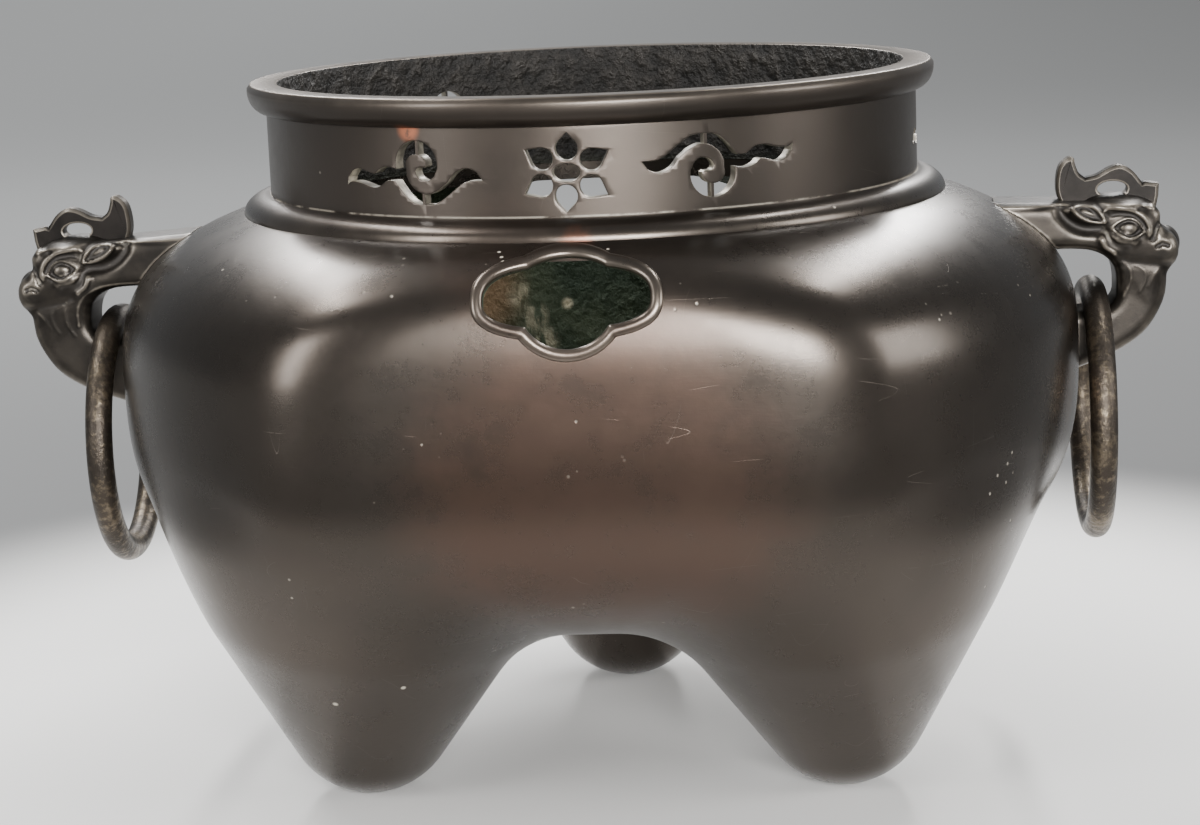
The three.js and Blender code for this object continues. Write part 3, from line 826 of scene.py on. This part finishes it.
# %% [markdown]
# ## Beast heads: the carving
# The face is low relief on the two flanks: an almond eye with a bulging ball, a leaf-shaped ear in a scooped
# hollow, brows, cheek and curls of mane. Each is a line or a closed outline with a height, a width and a
# profile. Every vertex of a flank moves straight out or in by the sum, so a form can be tuned by itself.

# %% Relief of the face
RIDGES = (
    # points, height, half width
    (
        ((-44, 39.6), (-24, 40.0), (-14.9, 40.8), (-8.4, 40.2), (-1.9, 41), (6.7, 40.4), (13.6, 40.2),
         (25.7, 38.0)),
        0.9, 0.9,
    ),
    (((4.5, 37.4), (8.0, 38.4), (13.2, 37.8), (19.0, 35.6), (22.8, 31.5), (23.8, 27)), 1.3, 1.8),
    (((3.1, 24.6), (4.9, 20.9), (8.3, 18.4)), 1.1, 1.4),
    (((11.2, 14.2), (14.8, 12.2), (15.9, 7.5), (14.7, 2.6), (12.6, -1.4)), 0.22, 0.55),
    (((16.9, 12.4), (20.4, 11.3), (22.3, 8.2), (21.6, 4.0), (19.4, 0.4)), 0.20, 0.55),
    (((28.0, 10.4), (26.4, 8.4), (24.9, 6.0), (23.2, 2.6)), 0.16, 0.55),
    (((10.3, 3.2), (9.8, 10.6), (6.2, 16.6), (-0.6, 19.9), (-8.8, 20.9), (-20, 20.9)), 0.35, 0.7),
)
GROOVES = (
    (((-14.6, 38.2), (-14.2, 35.9), (-9.8, 31.6), (-4.2, 29.2), (2.6, 28.9)), 2.4, 2.6),
    (((7.6, 35.0), (11.6, 35.6), (16.4, 34.8), (20.0, 32.2), (22.0, 28.6)), 0.9, 0.8),
    (((28.0, 30.0), (26.4, 27.0), (25.4, 23.8)), 1.2, 1.1),
    (((12.4, 14.8), (15.5, 13.6), (20, 13.0), (26, 12.2), (33, 11.0)), 0.75, 2.1),
    (((27.4, 20.6), (29.6, 21.6), (32.0, 20.8)), 1.3, 0.7),
    (((5.2, 27.2), (6.6, 24.8), (10.2, 22.2), (15.5, 21.4)), 0.6, 1.2),
)
UPPER_LID = ((7.4, 29.4), (10.8, 31.9), (15.2, 33.1), (18.9, 31.4), (21.6, 27.4))
LOWER_LID = ((21.6, 27.4), (18.0, 25.2), (14.2, 24.9), (10.4, 26.8), (7.4, 29.4))
EAR = (
    (4.6, 31.9), (1.2, 31.9), (-2.4, 32.7), (-5.6, 34.2), (-8.0, 36.2), (-9.2, 38.3),
    (-7.4, 39.8), (-4.4, 40.1), (-1.2, 39.3), (1.6, 37.2), (3.6, 34.4),
)


def line_distance(points, line, closed=False):
    """Distance of flat points from a polyline, with its sign turned inside a closed one."""
    line = np.array(line)
    if closed:
        line = np.vstack([line, line[:1]])
    best = np.full(len(points), 1e9)
    inside = np.zeros(len(points), bool)
    for a, b in zip(line[:-1], line[1:]):
        along = np.clip(((points - a) @ (b - a)) / ((b - a) @ (b - a)), 0, 1)
        best = np.minimum(best, np.linalg.norm(points - a - along[:, None] * (b - a), axis=1))
        if closed:
            crosses = (a[1] > points[:, 1]) != (b[1] > points[:, 1])
            level = (points[:, 1] - a[1]) / (b[1] - a[1] if b[1] != a[1] else 1e-9)
            inside ^= crosses & (points[:, 0] < a[0] + level * (b[0] - a[0]))
    return np.where(inside, -best, best)


def hump(distance, width):
    return np.exp(-((distance / width) ** 2))


def curved(line, steps):
    return smooth_line(list(line), steps)


def relief(drawn):
    """Height over the flank at points of the drawing."""
    height = np.zeros(len(drawn))
    for line, rise, width in RIDGES:
        height += rise * hump(line_distance(drawn, curved(line, 20)), width)
    for line, depth, width in GROOVES:
        height -= depth * hump(line_distance(drawn, curved(line, 20)), width)
    eye = line_distance(drawn, [*curved(UPPER_LID, 24)[:-1], *curved(LOWER_LID, 20)[:-1]], True)
    height = height * smooth_step(eye, -0.4, 0.8) + 0.7 * hump(eye, 0.55) - 1.1 * smooth_step(-eye, 0.2, 1.1)
    ball = np.hypot((drawn[:, 0] - 14.8) / 4.5, (drawn[:, 1] - 28.9) / 3.3)
    height += 2.3 * np.sqrt(np.clip(1 - ball**2, 0, 1))
    ear = line_distance(drawn, curved((*EAR, EAR[0]), 44)[:-1], True)
    lifted = 1.9 * hump(ear, 0.75) - 0.7 * smooth_step(-ear, 0.5, 1.7) + 0.5 * smooth_step(-ear, 2.0, 3.2)
    return height * smooth_step(ear, -0.6, 0.8) + lifted + 0.7 * smooth_step(-ear, -0.8, 0.2)


def to_drawing(places, stance):
    turn, out, drop = stance
    x, z = places[:, 0] - RING_PLANE - out, places[:, 2] - RING_TOP + drop
    c, s = math.cos(math.radians(turn)), math.sin(math.radians(turn))
    return np.column_stack([x * c - z * s, x * s + z * c])


def carve(bm, stance):
    bm.normal_update()
    places = np.array([v.co for v in bm.verts])
    facing = np.array([v.normal.y for v in bm.verts])
    amount = relief(to_drawing(places, stance)) * smooth_step(np.abs(facing), 0.25, 0.8)
    for vertex, y in zip(bm.verts, amount * np.sign(facing)):
        vertex.co.y += y
    bmesh.ops.smooth_vert(bm, verts=bm.verts, factor=0.35, use_axis_x=True, use_axis_y=True, use_axis_z=True)


def head_mesh(side):
    stance = STANCES[side]
    bm = head_blank(stance)
    for place, sizes, tilt in LUMPS:
        join(bm, lump(place, sizes, tilt, stance))
    bm = poured(bm, 0.62, 6)
    carve(bm, stance)
    pressed_to_pot(bm)
    return bm


# %% [markdown]
# ## Beast heads: the crest
# A flat crest of flame and cloud stands on the skull, with an eye pierced through it. Its edges were
# chamfered with a file and catch the light as thin bright lines, so it stays a crisp bevelled slab.

# %% Crest and pierced eye
def crest_mesh(side):
    stance = STANCES[side]
    flame = smooth_line(
        [(-12.6, 37), (-15.0, 43), (-15.3, 49), (-14.0, 55.3), (-10.6, 58.9), (-7.6, 59.2),
         (-7.0, 56.6), (-5.4, 52.4), (-2.6, 50.1)],
        26,
    )
    ridge = smooth_line([(-2.6, 50.1), (2.5, 51.2), (8, 54.2), (13, 55.2), (18, 52.6), (22.4, 47.2)], 20)
    block = [(23.6, 47.6), (29.6, 46.6), (29.3, 41.5), (28.2, 36), (18, 34), (-8, 34)]
    comb = slab(stood([*flame, *ridge[1:], *block], stance), 4.4, 1.3, 1)
    eye = slab(stood(arc((9.2, 44.9), (6.6, 3.5), 0, 350, 35), stance), 9, 0.01, 1)
    bm = carved(comb, (eye,))
    rim = [e for e in bm.edges if e.calc_face_angle(0) > 1.0 and abs(e.verts[0].co.y) > 4.2]
    bmesh.ops.bevel(bm, geom=rim, offset=0.5, segments=2, profile=0.5, affect="EDGES", material=-1)
    flats = [f for f in bm.faces if abs(f.normal.y) > 0.99]
    bmesh.ops.inset_region(bm, faces=flats, thickness=0.5, use_even_offset=True, use_boundary=True)
    return bm


def mirror_to(side, bm):
    if side == "left":
        bmesh.ops.scale(bm, vec=(-1, 1, 1), verts=bm.verts)
        bmesh.ops.reverse_faces(bm, faces=bm.faces)
    return bm


heads, crests = {}, {}
for side in ("left", "right"):
    node = side + "_beast_head"
    carved_head = mirror_to(side, head_mesh(side))
    heads[side] = piece(side + "_carved_head", carved_head, "vessel", (node,))
    crests[side] = piece(side + "_crest", mirror_to(side, crest_mesh(side)), "vessel", ())
    crests[side].data.set_sharp_from_angle(angle=math.radians(30))

# %% [markdown]
# ## Where the metal is rubbed, where dirt stays and where shade is painted
# Hands and cloths polish whatever stands out, and dirt and old wax stay wherever a cloth can't reach; on the
# heads the hollows are also darkened, as painted shade. Both depend on how the surface bends, so they can be
# measured: along each edge of the mesh, the change of the normal says whether the surface bulges or hollows.
# The result is stored as two attributes for the shader.

# %% Measuring bulges and hollows
def numbers(collection, field, width, kind=float):
    values = np.empty(len(collection) * width, kind)
    collection.foreach_get(field, values)
    return values.reshape(-1, width) if width > 1 else values


def mark_bends(made, radius, rounds):
    """Store 'wear' and 'crevice', both 1 where the surface bends more sharply than radius, in metres."""
    mesh = made.data
    places, normals = numbers(mesh.vertices, "co", 3), numbers(mesh.vertices, "normal", 3)
    a, b = numbers(mesh.edges, "vertices", 2, int).T
    run, turn = places[b] - places[a], normals[b] - normals[a]
    bend_by_edge = (run * turn).sum(1) / np.maximum((run**2).sum(1), 1e-12)
    count = np.bincount(a, minlength=len(places)) + np.bincount(b, minlength=len(places))

    def gathered(on_a, on_b):
        total = np.bincount(a, on_a, len(places)) + np.bincount(b, on_b, len(places))
        return total / np.maximum(count, 1)

    bends = np.clip(gathered(bend_by_edge, bend_by_edge) * radius, -1.5, 1.5)
    for _ in range(rounds):
        bends = 0.4 * bends + 0.6 * gathered(bends[b], bends[a])
    for name, values in (("wear", bends), ("crevice", -bends)):
        mesh.attributes.new(name, "FLOAT", "POINT").data.foreach_set("value", np.clip(values, 0, 1))


for made, radius, rounds in (
    (body, 0.004, 1), (band, 0.003, 1), (rim, 0.003, 0), (moulding, 0.004, 0),
    (left_ring, 0.002, 2), (right_ring, 0.002, 2),
    *((heads[side], 0.0022, 2) for side in heads), *((crests[side], 0.0016, 0) for side in crests),
):
    mark_bends(made, radius, rounds)
    rubbed = numbers(made.data.attributes["wear"].data, "value", 1)
    print(made.name, "rubbed share", round(float(rubbed.mean()), 3))


def keep_flats_dark(made):
    """Take the wear off the flats of a crest, so that its pale tone, partly rubbed metal and partly a painted
    highlight, stays on the filed edges alone.
    """
    worn = made.data.attributes["wear"].data
    sideways = np.abs(numbers(made.data.vertices, "normal", 3)[:, 1])
    worn.foreach_set("value", np.where(sideways > 0.995, 0.0, numbers(worn, "value", 1)))
    print(made.name, "flat vertices", int((sideways > 0.995).sum()))


for side in crests:
    keep_flats_dark(crests[side])

# %% [markdown]
# ## Shader maths as sums
# A patina is mostly arithmetic: so much of this mask, less of that one. Written with nodes alone it soon
# can't be read. This small class wraps an output socket and lets Python's own operators add the Math nodes.
# Any other node comes from one method, which takes its type, its settings and its inputs.

# %% A socket that can be used in sums
class Signal:
    def __init__(self, tree, socket=None):
        self.tree, self.socket = tree, socket

    def node(self, kind, settings, inputs, output=0):
        made = self.tree.nodes.new("ShaderNode" + kind)
        for name, value in settings.items():
            setattr(made, name, value)
        for name, value in inputs.items():
            if isinstance(value, Signal):
                self.tree.links.new(value.socket, made.inputs[name])
            else:
                made.inputs[name].default_value = value
        return Signal(self.tree, made.outputs[output])

    def maths(self, operation, first, second):
        return self.node("Math", {"operation": operation}, {0: first, 1: second})

    def __add__(self, other):
        return self.maths("ADD", self, other)

    def __sub__(self, other):
        return self.maths("SUBTRACT", self, other)

    def __rsub__(self, other):
        return self.maths("SUBTRACT", other, self)

    def __mul__(self, other):
        return self.maths("MULTIPLY", self, other)

    def __abs__(self):
        return self.maths("ABSOLUTE", self, 0.0)

    __radd__ = __add__
    __rmul__ = __mul__

    def step(self, low, high):
        """0 below low, 1 above high, and a smooth rise between; low may be the larger."""
        settings = {"interpolation_type": "SMOOTHSTEP"}
        if low > high:
            return 1 - self.step(high, low)
        return self.node("MapRange", settings, {"Value": self, "From Min": low, "From Max": high})

    def tint(self, start, end):
        """A colour that goes from start to end as the number goes from 0 to 1."""
        settings = {"data_type": "RGBA", "clamp_factor": True}
        return self.node("Mix", settings, {0: self, 6: start, 7: end}, 2)


class Finish:
    """A material under way: its coordinates, masks, and the shader at its end."""

    def __init__(self, name):
        self.material = bpy.data.materials.new(name)
        self.material.use_nodes = True
        self.tree = self.material.node_tree
        self.shader = self.tree.nodes["Principled BSDF"]
        self.place = Signal(self.tree).node("TexCoord", {}, {}, "Object")

    def attribute(self, name):
        return self.place.node("Attribute", {"attribute_name": name}, {}, "Fac")

    def stretched(self, scale):
        return self.place.node("VectorMath", {"operation": "MULTIPLY"}, {0: self.place, 1: scale})

    def noise(self, scale, detail=4.0, roughness=0.55, place=None, distortion=0.0):
        inputs = {"Vector": place or self.place, "Scale": scale, "Detail": detail, "Roughness": roughness}
        return self.place.node("TexNoise", {}, {**inputs, "Distortion": distortion})

    def near(self, point, radius):
        """1 at a point of the vessel, given in mm about its axis, fading to 0 at a radius in mm."""
        there = tuple(Vector(point) * MM + AXIS)
        away = self.place.node("VectorMath", {"operation": "DISTANCE"}, {0: self.place, 1: there}, "Value")
        return away.step(radius * MM, radius * MM * 0.35)

    def axis(self, letter):
        apart = self.place.node("SeparateXYZ", {}, {0: self.place}, letter)
        return apart

    def bump(self, height, strength, distance):
        return self.place.node("Bump", {}, {"Height": height, "Strength": strength, "Distance": distance})

    def done(self, constants, **varying):
        for name, value in constants.items():
            self.shader.inputs[name].default_value = value
        for name, value in varying.items():
            self.tree.links.new(value.socket, self.shader.inputs[name.replace("_", " ")])
        print("finish", self.material.name, len(self.tree.nodes), "nodes")
        return self.material


def rgb(red, green, blue):
    return (red, green, blue, 1.0)


# %% [markdown]
# ## The polished patina
# The outside was stained a very dark brown and waxed. Metal still shines through, so the shader is metallic
# with a dark brown reflection under a thin coat of wax. What makes it look old is unevenness: cloudy
# patches in the gloss, redder copper in the middle of the belly, hairline scratches, pits with pale dust,
# and dust lines where the mouldings meet the pot.

# %% Patina of the vessel
DUST = rgb(0.42, 0.38, 0.31)
# Pale spots that the eye finds at once: their place on the vessel and their radius, in mm.
PALE_SPOTS = (
    ((-108.9, -126, 58), 2.0), ((-79, -130, 66), 1.7), ((15.9, -161.3, 252.4), 1.0),
    ((-27.2, -160.3, 252.4), 1.1), ((-26.0, -163.7, 250.8), 1.1), ((-25.2, -166.3, 249.4), 1.1),
)


def hairlines(finish, stretch, width, share):
    """Thin wandering scratches: the level lines of a stretched noise, broken up by a second one."""
    line = abs(finish.noise(1.0, 0.0, 0.4, finish.stretched(stretch)) - 0.5).step(width, width * 0.2)
    return line * finish.noise(38.0, 2.0).step(share, share + 0.05)


def pits(finish, scale, size, share):
    """Small round pits, one to a cell, kept only where a wide noise is above a share."""
    inputs = {"Vector": finish.place, "Scale": scale, "Randomness": 1.0}
    cell = finish.place.node("TexVoronoi", {}, inputs, "Distance")
    return cell.step(size, size * 0.4) * finish.noise(scale * 0.13, 2.0).step(share, share + 0.06)


def seam_dust(finish, radius_mm, level_mm, spread_mm):
    """A broken line of dust round the vessel, where two turned forms meet."""
    flat = finish.place.node(
        "VectorMath", {"operation": "MULTIPLY_ADD"},
        {0: finish.place, 1: (1, 1, 0), 2: (-AXIS.x, -AXIS.y, 0)},
    )
    reach = finish.place.node("VectorMath", {"operation": "LENGTH"}, {0: flat}, "Value")
    off = abs(reach - radius_mm * MM) + abs(finish.axis("Z") - level_mm * MM)
    return off.step(spread_mm * MM, spread_mm * MM * 0.3) * finish.noise(55.0, 5.0, 0.7).step(0.36, 0.56)


def vessel_patina():
    finish = Finish("dark_polished_bronze")
    cloud_low = finish.noise(7.0, 3.0, 0.5, distortion=0.4)
    cloud_fine = finish.noise(46.0, 6.0, 0.65)
    speckle = finish.noise(420.0, 3.0, 0.7)
    belly = finish.near((10, -182, 152), 120) + finish.near((-30, -160, 255), 46) * 0.5
    copper = (belly * (0.35 + cloud_fine)).step(0.15, 0.95)
    colour = cloud_low.step(0.3, 0.7).tint(rgb(0.050, 0.042, 0.035), rgb(0.070, 0.057, 0.047))
    colour = (copper * 0.6).tint(colour, rgb(0.080, 0.042, 0.027))
    strip = finish.near((205, -50, 180), 44) * finish.noise(30.0, 5.0, 0.6).step(0.38, 0.6)
    colour = (strip * 0.45).tint(colour, rgb(0.17, 0.11, 0.07))
    wear = (finish.attribute("wear") * (0.4 + cloud_fine * 1.2)).step(0.12, 0.8)
    colour = (wear * 0.6).tint(colour, rgb(0.22, 0.185, 0.15))
    scratches = hairlines(finish, (60, 60, 9), 0.0016, 0.59) + hairlines(finish, (11, 11, 75), 0.0018, 0.60)
    specks = pits(finish, 150.0, 0.16, 0.60)
    marks = finish.near(*PALE_SPOTS[0])
    for point, radius in PALE_SPOTS[1:]:
        marks = marks + finish.near(point, radius)
    seams = seam_dust(finish, NECK_RADIUS, NECK_FOOT, 1.0)
    seams = seams + seam_dust(finish, MOULDING_RADIUS + 0.3, MOULDING_FOOT - 1.6, 2.2)
    dust = (seams * 0.5 + specks * 0.55 + marks * 0.8 + finish.attribute("crevice") * 0.35).step(0.05, 1.0)
    colour = (scratches * 0.22).tint(colour, rgb(0.22, 0.19, 0.16))
    colour = dust.tint(colour, DUST)
    drip = finish.near((-65.4, -128, 299), 6.5) * finish.noise(170.0, 4.0, 0.7).step(0.3, 0.5)
    rub = finish.near((3, -155.7, 255.5), 9) * finish.noise(90.0, 4.0).step(0.4, 0.6)
    colour = (drip * 0.9 + rub * 0.28).tint(colour, rgb(0.36, 0.13, 0.07))
    turned = finish.axis("Z").step(0.258, 0.268) * 0.10
    gloss = 0.15 + turned + cloud_fine * 0.16 + cloud_low * 0.06 + speckle * 0.05
    gloss = gloss + dust * 0.3 + scratches * 0.12
    brushed = finish.noise(1.0, 3.0, 0.6, finish.stretched((90, 90, 1500)))
    height = cloud_fine * 0.5 + brushed * 0.08 + speckle * 0.05 - specks * 0.5 - scratches * 0.2
    return finish.done(
        {"Coat Roughness": 0.22, "Coat IOR": 1.45},
        Base_Color=colour, Roughness=gloss, Metallic=0.94 - dust * 0.9 - copper * 0.15,
        Coat_Weight=0.22 - dust * 0.2, Normal=finish.bump(height, 0.22, 0.0009),
    )


patina = vessel_patina()

# %% [markdown]
# ## The rough inside
# Inside, the skin is as it left the mould: hammered-looking, dull, and stained green and brown by damp ash.
# Strong bump with a high roughness does that, and the colour is mixed from three stains by wide noises.

# %% Cast skin of the inside
def cast_inside():
    finish = Finish("rough_cast_inside")
    lumps = finish.noise(140.0, 4.0, 0.6)
    wide = finish.noise(13.0, 3.0, 0.5)
    green = finish.axis("Z").step(0.262, 0.232)
    colour = lumps.step(0.3, 0.75).tint(rgb(0.010, 0.009, 0.008), rgb(0.030, 0.026, 0.022))
    stain = wide.step(0.35, 0.6).tint(rgb(0.050, 0.072, 0.048), rgb(0.125, 0.150, 0.092))
    colour = green.tint(colour, stain)
    brown = finish.near((-80, 190, 184), 36) * wide.step(0.15, 0.4)
    colour = (brown * green * 0.95).tint(colour, rgb(0.40, 0.26, 0.15))
    streak = finish.near((-54, 197, 181), 10) + finish.near((-48, 199, 169), 10)
    streak = streak + finish.near((-42, 199, 157), 9)
    ash = streak * finish.noise(60.0, 4.0, 0.6, finish.stretched((3, 1, 1))).step(0.42, 0.6)
    drop = finish.near((-31, 203, 175), 4.5)
    colour = (ash * 0.6 + drop).tint(colour, rgb(0.86, 0.76, 0.55))
    height = lumps + finish.noise(260.0, 3.0) * 0.25
    return finish.done(
        {"Metallic": 0.45},
        Base_Color=colour, Roughness=0.62 - lumps.step(0.5, 0.8) * 0.3,
        Normal=finish.bump(height, 1.0, 0.006),
    )


inside_skin = cast_inside()

# %% [markdown]
# ## Heads and rings
# The heads have the same patina, rubbed to a paler bronze along every edge, and painted shade darkens the
# carving. The crests get a darker copy of it, painted shade on their flats, and the pale tone on their filed
# edges is partly rubbed metal and partly a painted highlight. The rings are handled most: the brown is worn
# through in a mottle, so small yellow glints show, and the top of each ring, inside its bracket, has kept its
# dark skin.

# %% Bronze of the heads
def head_bronze(name, dark, pale, polish):
    """Painted shade in the hollows and bright on worn edges; the flats lie between the dark and the pale
    tone.
    """
    finish = Finish(name)
    patches = finish.noise(70.0, 5.0, 0.6)
    fine = finish.noise(520.0, 3.0, 0.6)
    wear = (finish.attribute("wear") * (0.55 + patches)).step(0.06, 0.62)
    hollow = (finish.attribute("crevice") * (0.7 + patches * 0.6)).step(0.04, 0.55)
    colour = patches.step(0.3, 0.7).tint(dark, pale)
    colour = (wear * 0.5).tint(colour, rgb(0.26, 0.225, 0.18))
    # painted shade: the hollows of the carving are darkened in the colour
    colour = (hollow * 0.8).tint(colour, rgb(0.030, 0.026, 0.023))
    dust = hollow * patches.step(0.56, 0.66) * 0.35
    colour = dust.tint(colour, DUST)
    gloss = polish + patches * 0.16 + fine * 0.06 + hollow * 0.2 - wear * 0.08
    height = patches * 0.4 + fine * 0.2
    return finish.done(
        {},
        Base_Color=colour, Roughness=gloss, Metallic=0.93 - hollow * 0.4 - wear * 0.4,
        Normal=finish.bump(height, 0.3, 0.0006),
    )


head_finish = head_bronze("rubbed_head_bronze", rgb(0.027, 0.024, 0.021), rgb(0.043, 0.037, 0.031), 0.27)
# The crest is a darker copy of the head bronze: painted shade on its flats.
crest_shade_finish = head_bronze("crest_bronze_painted_shade", rgb(0.012, 0.011, 0.010), rgb(0.022, 0.019, 0.017), 0.36)

# %% Bronze of the rings
def ring_bronze():
    finish = Finish("worn_ring_bronze")
    mottle = finish.noise(330.0, 4.0, 0.7)
    patches = finish.noise(45.0, 4.0, 0.55)
    worn = (mottle * 0.7 + patches * 0.5).step(0.56, 0.72)
    top = finish.axis("Z").step(0.190, 0.206)
    colour = patches.step(0.3, 0.7).tint(rgb(0.040, 0.033, 0.027), rgb(0.072, 0.058, 0.044))
    colour = (worn * (1 - top * 0.8) * 0.6).tint(colour, rgb(0.20, 0.16, 0.11))
    pale = mottle.step(0.70, 0.78) * patches.step(0.5, 0.62)
    colour = (pale * 0.35).tint(colour, DUST)
    gloss = 0.40 - worn * 0.12 + mottle * 0.1 + pale * 0.2
    return finish.done(
        {},
        Base_Color=colour, Roughness=gloss, Metallic=0.9 - pale * 0.6,
        Normal=finish.bump(mottle + patches * 0.5, 0.6, 0.0008),
    )


ring_finish = ring_bronze()


# %% Sawn edges of the openwork, paled by painted light
def sawn_edges_painted_light():
    finish = Finish("openwork_edge_painted_light")
    patches = finish.noise(120.0, 4.0, 0.6)
    # The hole walls are partly filed metal and partly painted light: all are paled as if light from above
    # caught them.
    colour = patches.step(0.35, 0.65).tint(rgb(0.12, 0.105, 0.085), rgb(0.34, 0.31, 0.25))
    return finish.done(
        {"Metallic": 0.6}, Base_Color=colour, Roughness=0.34 + patches * 0.2,
        Normal=finish.bump(patches, 0.3, 0.0004),
    )


lit_edge_finish = sawn_edges_painted_light()

# %% Dressing the pieces
def mark_bore(made, radius):
    """Give the second slot to the faces that look inwards at the bore."""
    centres = numbers(made.data.polygons, "center", 3) - np.array(AXIS)
    inner = np.hypot(centres[:, 0], centres[:, 1]) < radius * MM
    made.data.polygons.foreach_set("material_index", inner.astype(np.int32))


def mark_sawn(made):
    """Give the third slot to the faces that look along the wall, which the saw and file left."""
    centres = numbers(made.data.polygons, "center", 3) - np.array(AXIS)
    normals = numbers(made.data.polygons, "normal", 3)
    out = centres[:, :2] / np.hypot(centres[:, 0], centres[:, 1])[:, None]
    sawn = np.abs((normals[:, :2] * out).sum(1)) < 0.9
    slots = numbers(made.data.polygons, "material_index", 1, np.int32)
    made.data.polygons.foreach_set("material_index", np.where(sawn, 2, slots).astype(np.int32))
    print(made.name, "sawn faces:", int(sawn.sum()))


for made in (body, neck, rim, moulding):
    made.data.materials.append(patina)
    made.data.materials.append(inside_skin)
neck.data.materials.append(lit_edge_finish)
mark_bore(neck, BORE_RADIUS + 0.7)
mark_bore(rim, BORE_RADIUS + 0.02)
mark_sawn(neck)
band.data.materials.append(patina)
for side in heads:
    heads[side].data.materials.append(head_finish)
    crests[side].data.materials.append(crest_shade_finish)
for made in (left_ring, right_ring):
    made.data.materials.append(ring_finish)
print("finishes:", [m.name for m in bpy.data.materials])

# %% [markdown]
# ## Floor
# The floor is one sheet, painted pale in a pool of light where the brazier stands and a quiet grey further
# off, so that the dark metal stands out from both. It is lighter to the left, as a room with its window on
# that side is. Far off it glows faintly by itself, a painted light.

# %% Seamless floor
def seamless_floor():
    bm = bmesh.new()
    bmesh.ops.create_grid(bm, x_segments=1, y_segments=1, size=15)
    mesh = bpy.data.meshes.new("floor")
    bm.to_mesh(mesh)
    bm.free()
    made = bpy.data.objects.new("floor", mesh)
    bpy.context.collection.objects.link(made)
    finish = Finish("floor_painted_light_pool")
    inputs = {0: finish.place, 1: (0.0, 0.10, 0)}
    away = finish.place.node("VectorMath", {"operation": "DISTANCE"}, inputs, "Value")
    leftward = finish.axis("X").step(1.6, -1.6)
    far = leftward.tint(rgb(0.08, 0.08, 0.08), rgb(0.16, 0.162, 0.162))
    # painted pool of light: pale near the brazier, grey further off
    colour = away.step(0.32, 0.56).tint(rgb(0.80, 0.79, 0.77), far)
    edge = leftward.tint(rgb(0.18, 0.182, 0.182), rgb(0.34, 0.345, 0.345))
    # painted light: the far floor glows by itself, lighter to the left
    glow = away.step(0.5, 2.6).tint(rgb(0.01, 0.01, 0.01), edge)
    constants = {"Roughness": 0.85, "Specular IOR Level": 0.2, "Emission Strength": 1.0}
    mesh.materials.append(finish.done(constants, Base_Color=colour, Emission_Color=glow))
    return made


seamless_floor()

# %% [markdown]
# ## Light
# Dark polished metal shows its surroundings more than itself, so each light is placed where a highlight on
# the pot needs it: a wide soft one before the right lobe, a dimmer one for the left lobe, and two long
# strips overhead, which the shoulders draw out into slanting streaks. The pale floor lights the legs.

# %% Soft lights and the room
def soft_light(name, place, size, power, upright=(0, 0, 1)):
    """A rectangle of light that faces the pot, with its second side along the upright direction."""
    data = bpy.data.lights.new(name, "AREA")
    data.shape = "RECTANGLE"
    data.size, data.size_y = size
    data.energy = power
    made = bpy.data.objects.new(name, data)
    bpy.context.collection.objects.link(made)
    back = (Vector(place) - Vector((0, 0, 0.2))).normalized()
    up = Vector(upright)
    up = (up - back * up.dot(back)).normalized()
    turn = Matrix((up.cross(back), up, back)).transposed().to_4x4()
    made.matrix_world = Matrix.Translation(place) @ turn
    return made


soft_light("window", (0.44, -2.2, 0.64), (0.95, 0.62), 90)
soft_light("right_fill", (2.1, -0.6, 0.75), (0.9, 0.9), 26)
soft_light("left_fill", (-1.75, -1.55, 0.85), (0.45, 1.3), 30)
soft_light("left_strip", (-0.95, 0.75, 1.7), (0.18, 2.9), 62, (0, 1, 0))
soft_light("right_strip", (0.80, 1.05, 1.7), (0.18, 2.4), 62, (0, 1, 0))
world = bpy.data.worlds.new("world")
bpy.context.scene.world = world
world.use_nodes = True
room = world.node_tree.nodes["Background"]
room.inputs["Color"].default_value = rgb(0.92, 0.96, 1.0)
room.inputs["Strength"].default_value = 0.28

# %% [markdown]
# ## Camera
# The camera's place was worked out from known points of the vessel: it stands a little right of the middle,
# 1.3 m off, and looks down by 11 degrees with a slight roll, through a lens of 88 mm.

# %% Camera
PHOTO_WIDTH, FOCAL_PIXELS = 1200, 2930
CAMERA_PLACE = Vector((0.0931, -1.301, 0.4068))
PAN, TILT, ROLL = math.radians(4.163), math.radians(10.883), math.radians(-2.316)


def camera():
    data = bpy.data.cameras.new("camera")
    data.sensor_width = 36
    data.lens = FOCAL_PIXELS / PHOTO_WIDTH * data.sensor_width
    data.clip_start, data.clip_end = 0.05, 50
    made = bpy.data.objects.new("camera", data)
    bpy.context.collection.objects.link(made)
    ahead = Vector((-math.sin(PAN) * math.cos(TILT), math.cos(PAN) * math.cos(TILT), -math.sin(TILT)))
    level = Vector((math.cos(PAN), math.sin(PAN), 0))
    upright = level.cross(ahead)
    right = level * math.cos(ROLL) + upright * math.sin(ROLL)
    up = upright * math.cos(ROLL) - level * math.sin(ROLL)
    turn = Matrix((right, up, -ahead)).transposed().to_4x4()
    made.matrix_world = Matrix.Translation(CAMERA_PLACE + AXIS) @ turn
    bpy.context.scene.camera = made
    return made


print("lens", round(camera().data.lens, 1), "mm")
